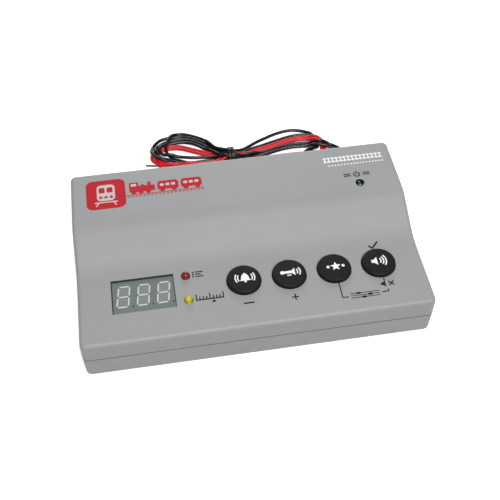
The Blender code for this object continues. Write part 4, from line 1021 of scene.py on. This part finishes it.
def make_seam_shadow_strip():
    """A near-black strip in the joint between the two shells, all round the case: painted shadow standing in
    for the shade in the seam's groove.
    """
    corner = Vector(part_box("bottom_cover")[1]) / MM
    bm = bmesh.new()
    rings = []
    for inset, up in ((-SEAM_PROUD, -0.15), (-SEAM_PROUD, 0.15), (SEAM_DEPTH, 0.14), (SEAM_DEPTH, -0.14)):
        x, y = corner.x - inset, corner.y - inset
        outline = rounded_box(-x, -y, x, y, CASE_CORNER_RADIUS - inset, 12)
        rings.append([bm.verts.new((*spot, SEAM_LEVEL + up)) for spot in outline])
    join_rings(bm, rings, around=True)
    # The strip is painted shadow along the seam, not a part of the case.
    new_piece("seam_shadow_strip", mesh_of(bm), SEAM_PAINTED_SHADOW, "case")


make_seam_shadow_strip()

# ---------------- lamps

LAMP_RADIUS, LAMP_FLANGE_RADIUS = 1.5, 1.9
LEAD_PITCH, LEAD_WIDTH = 2.54, 0.48


def make_lamp(node, slot, rim):
    """A 3 mm lamp in its rim: domed epoxy on its flange, with the lead frame's cup and post inside."""
    x, y, _ = node_centre(node)
    top = node_top(node)
    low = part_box(node)[0][2] / MM
    flange = top - 5.2
    angles = [math.radians(a) for a in range(0, 91, 9)]
    dome = [(LAMP_RADIUS * math.sin(a), top - LAMP_RADIUS * (1 - math.cos(a)) * 0.92) for a in angles]
    foot = [(LAMP_RADIUS, flange + 1.0), (LAMP_FLANGE_RADIUS - 0.04, flange + 0.95),
            (LAMP_FLANGE_RADIUS, flange + 0.5), (LAMP_FLANGE_RADIUS - 0.04, flange + 0.04), (0.0, flange)]
    body = turned([*dome, *foot], (x, y, 0.0), 40)
    epoxy = new_piece(f"{node}_epoxy", body, MATERIALS[slot], "case", 40)
    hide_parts(node)
    leads = bmesh.new()
    lead_top = flange - 0.3
    for side in (-LEAD_PITCH / 2, LEAD_PITCH / 2):
        place = Matrix.Translation((x + side, y, (low + lead_top) / 2))
        size = Matrix.Diagonal((LEAD_WIDTH, LEAD_WIDTH, lead_top - low, 1.0))
        bmesh.ops.create_cube(leads, size=1.0, matrix=place @ size)
    bmesh.ops.bevel(leads, geom=list(leads.edges), offset=0.06, segments=2, affect="EDGES")
    new_piece(f"{node}_leads", mesh_of(leads), MATERIALS["plated_steel"], "case", 40)
    cup = bmesh.new()
    add_turned(cup, [(0.0, top - 1.75), (0.34, top - 1.72), (0.52, top - 1.32), (0.6, top - 1.34),
                     (0.5, top - 2.4), (0.0, top - 2.4)], (x - 0.3, y, 0.0), 24)
    add_turned(cup, [(0.0, top - 1.5), (0.2, top - 1.52), (0.22, top - 2.3), (0.0, top - 2.3)],
               (x + 0.75, y, 0.0), 12)
    new_piece(f"{node}_cup", mesh_of(cup), SOLDER, "case", 40)
    surface = Print(TOP).height(x, y + 3.0)
    inner = LAMP_RADIUS + 0.02
    bezel = turned([(inner, surface + 0.3), (1.60, surface + 0.36), (1.70, surface + 0.28),
                    (1.73, surface - 0.6), (inner, surface - 0.6), (inner, surface + 0.3)], (x, y, 0.0), 40)
    new_piece(f"{node}_rim", bezel, rim, "case", 40)


make_lamp("upper_indicator_led", "red_led", DARK_RED)
make_lamp("lower_indicator_led", "yellow_led", BRASS)
make_lamp("power_led", "green_led", MATERIALS["switch_plastic"])

# ---------------- underside


def make_foot(number):
    """A rubber foot with a soft edge, a shallow ring and a moulding pip."""
    node = f"rubber_foot_{number}"
    x, y, _ = node_centre(node)
    top = node_top(node)
    profile = [(0.0, top), (3.9, top), (3.98, top - 0.1), (3.98, 0.42), (3.9, 0.16), (3.7, 0.03), (3.4, 0.0),
               (2.5, 0.0), (2.42, 0.12), (2.1, 0.12), (2.02, 0.0), (0.6, 0.0), (0.5, 0.08), (0.0, 0.1)]
    pad = turned(profile, (x, y, 0.0), 64)
    foot = new_piece(f"{node}_pad", pad, MATERIALS["rubber"], "case", 35)
    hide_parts(node)


for foot_number in range(1, 5):
    make_foot(foot_number)

# ---------------- floor and light


def make_floor():
    """A plain white table top, lit so evenly that it gives off a little light itself."""
    half = 3.0
    bm = bmesh.new()
    corners = [bm.verts.new((x * half, y * half, 0.0)) for x, y in ((-1, -1), (1, -1), (1, 1), (-1, 1))]
    bm.faces.new(corners)
    floor = bpy.data.objects.new("floor", mesh_of(bm, "floor"))
    bpy.context.scene.collection.objects.link(floor)
    n = Nodes("white_table", (0.93, 0.93, 0.93), 0.75)
    n.set("Emission Color", (1.0, 1.0, 1.0, 1.0))
    n.set("Emission Strength", 0.5)
    floor.data.materials.append(n.material)
    # The world's lower half, not the floor, sends light up to the case.
    floor.visible_diffuse = False


def make_area_light(name, place, aim, size, power):
    data = bpy.data.lights.new(name, "AREA")
    data.shape = "DISK"
    data.size = size
    data.energy = power
    light = bpy.data.objects.new(name, data)
    bpy.context.scene.collection.objects.link(light)
    way = Vector(aim) - Vector(place)
    light.matrix_world = Matrix.Translation(place) @ way.to_track_quat("-Z", "Y").to_matrix().to_4x4()


def make_world(above, below):
    """Even light from above, and the light that a white table sends up from below."""
    world = bpy.data.worlds.new("studio")
    world.use_nodes = True
    tree = world.node_tree
    background = tree.nodes["Background"]
    background.inputs["Color"].default_value = (1.0, 1.0, 1.0, 1.0)
    way = tree.nodes.new("ShaderNodeSeparateXYZ")
    tree.links.new(tree.nodes.new("ShaderNodeTexCoord").outputs["Generated"], way.inputs[0])
    blend = tree.nodes.new("ShaderNodeMapRange")
    for socket, value in (("From Min", -0.2), ("From Max", 0.05), ("To Min", below), ("To Max", above)):
        blend.inputs[socket].default_value = value
    tree.links.new(way.outputs["Z"], blend.inputs["Value"])
    tree.links.new(blend.outputs[0], background.inputs["Strength"])
    bpy.context.scene.world = world


make_floor()
make_world(0.16, 0.52)
make_area_light("key", (0.1, -0.52, 0.95), (0.0, 0.0, 0.0), 0.65, 11.7)
make_area_light("rear", (0.1, 0.95, 0.40), (0.0, 0.0, 0.0), 0.5, 3.7)
bpy.context.scene.view_settings.view_transform = "Standard"
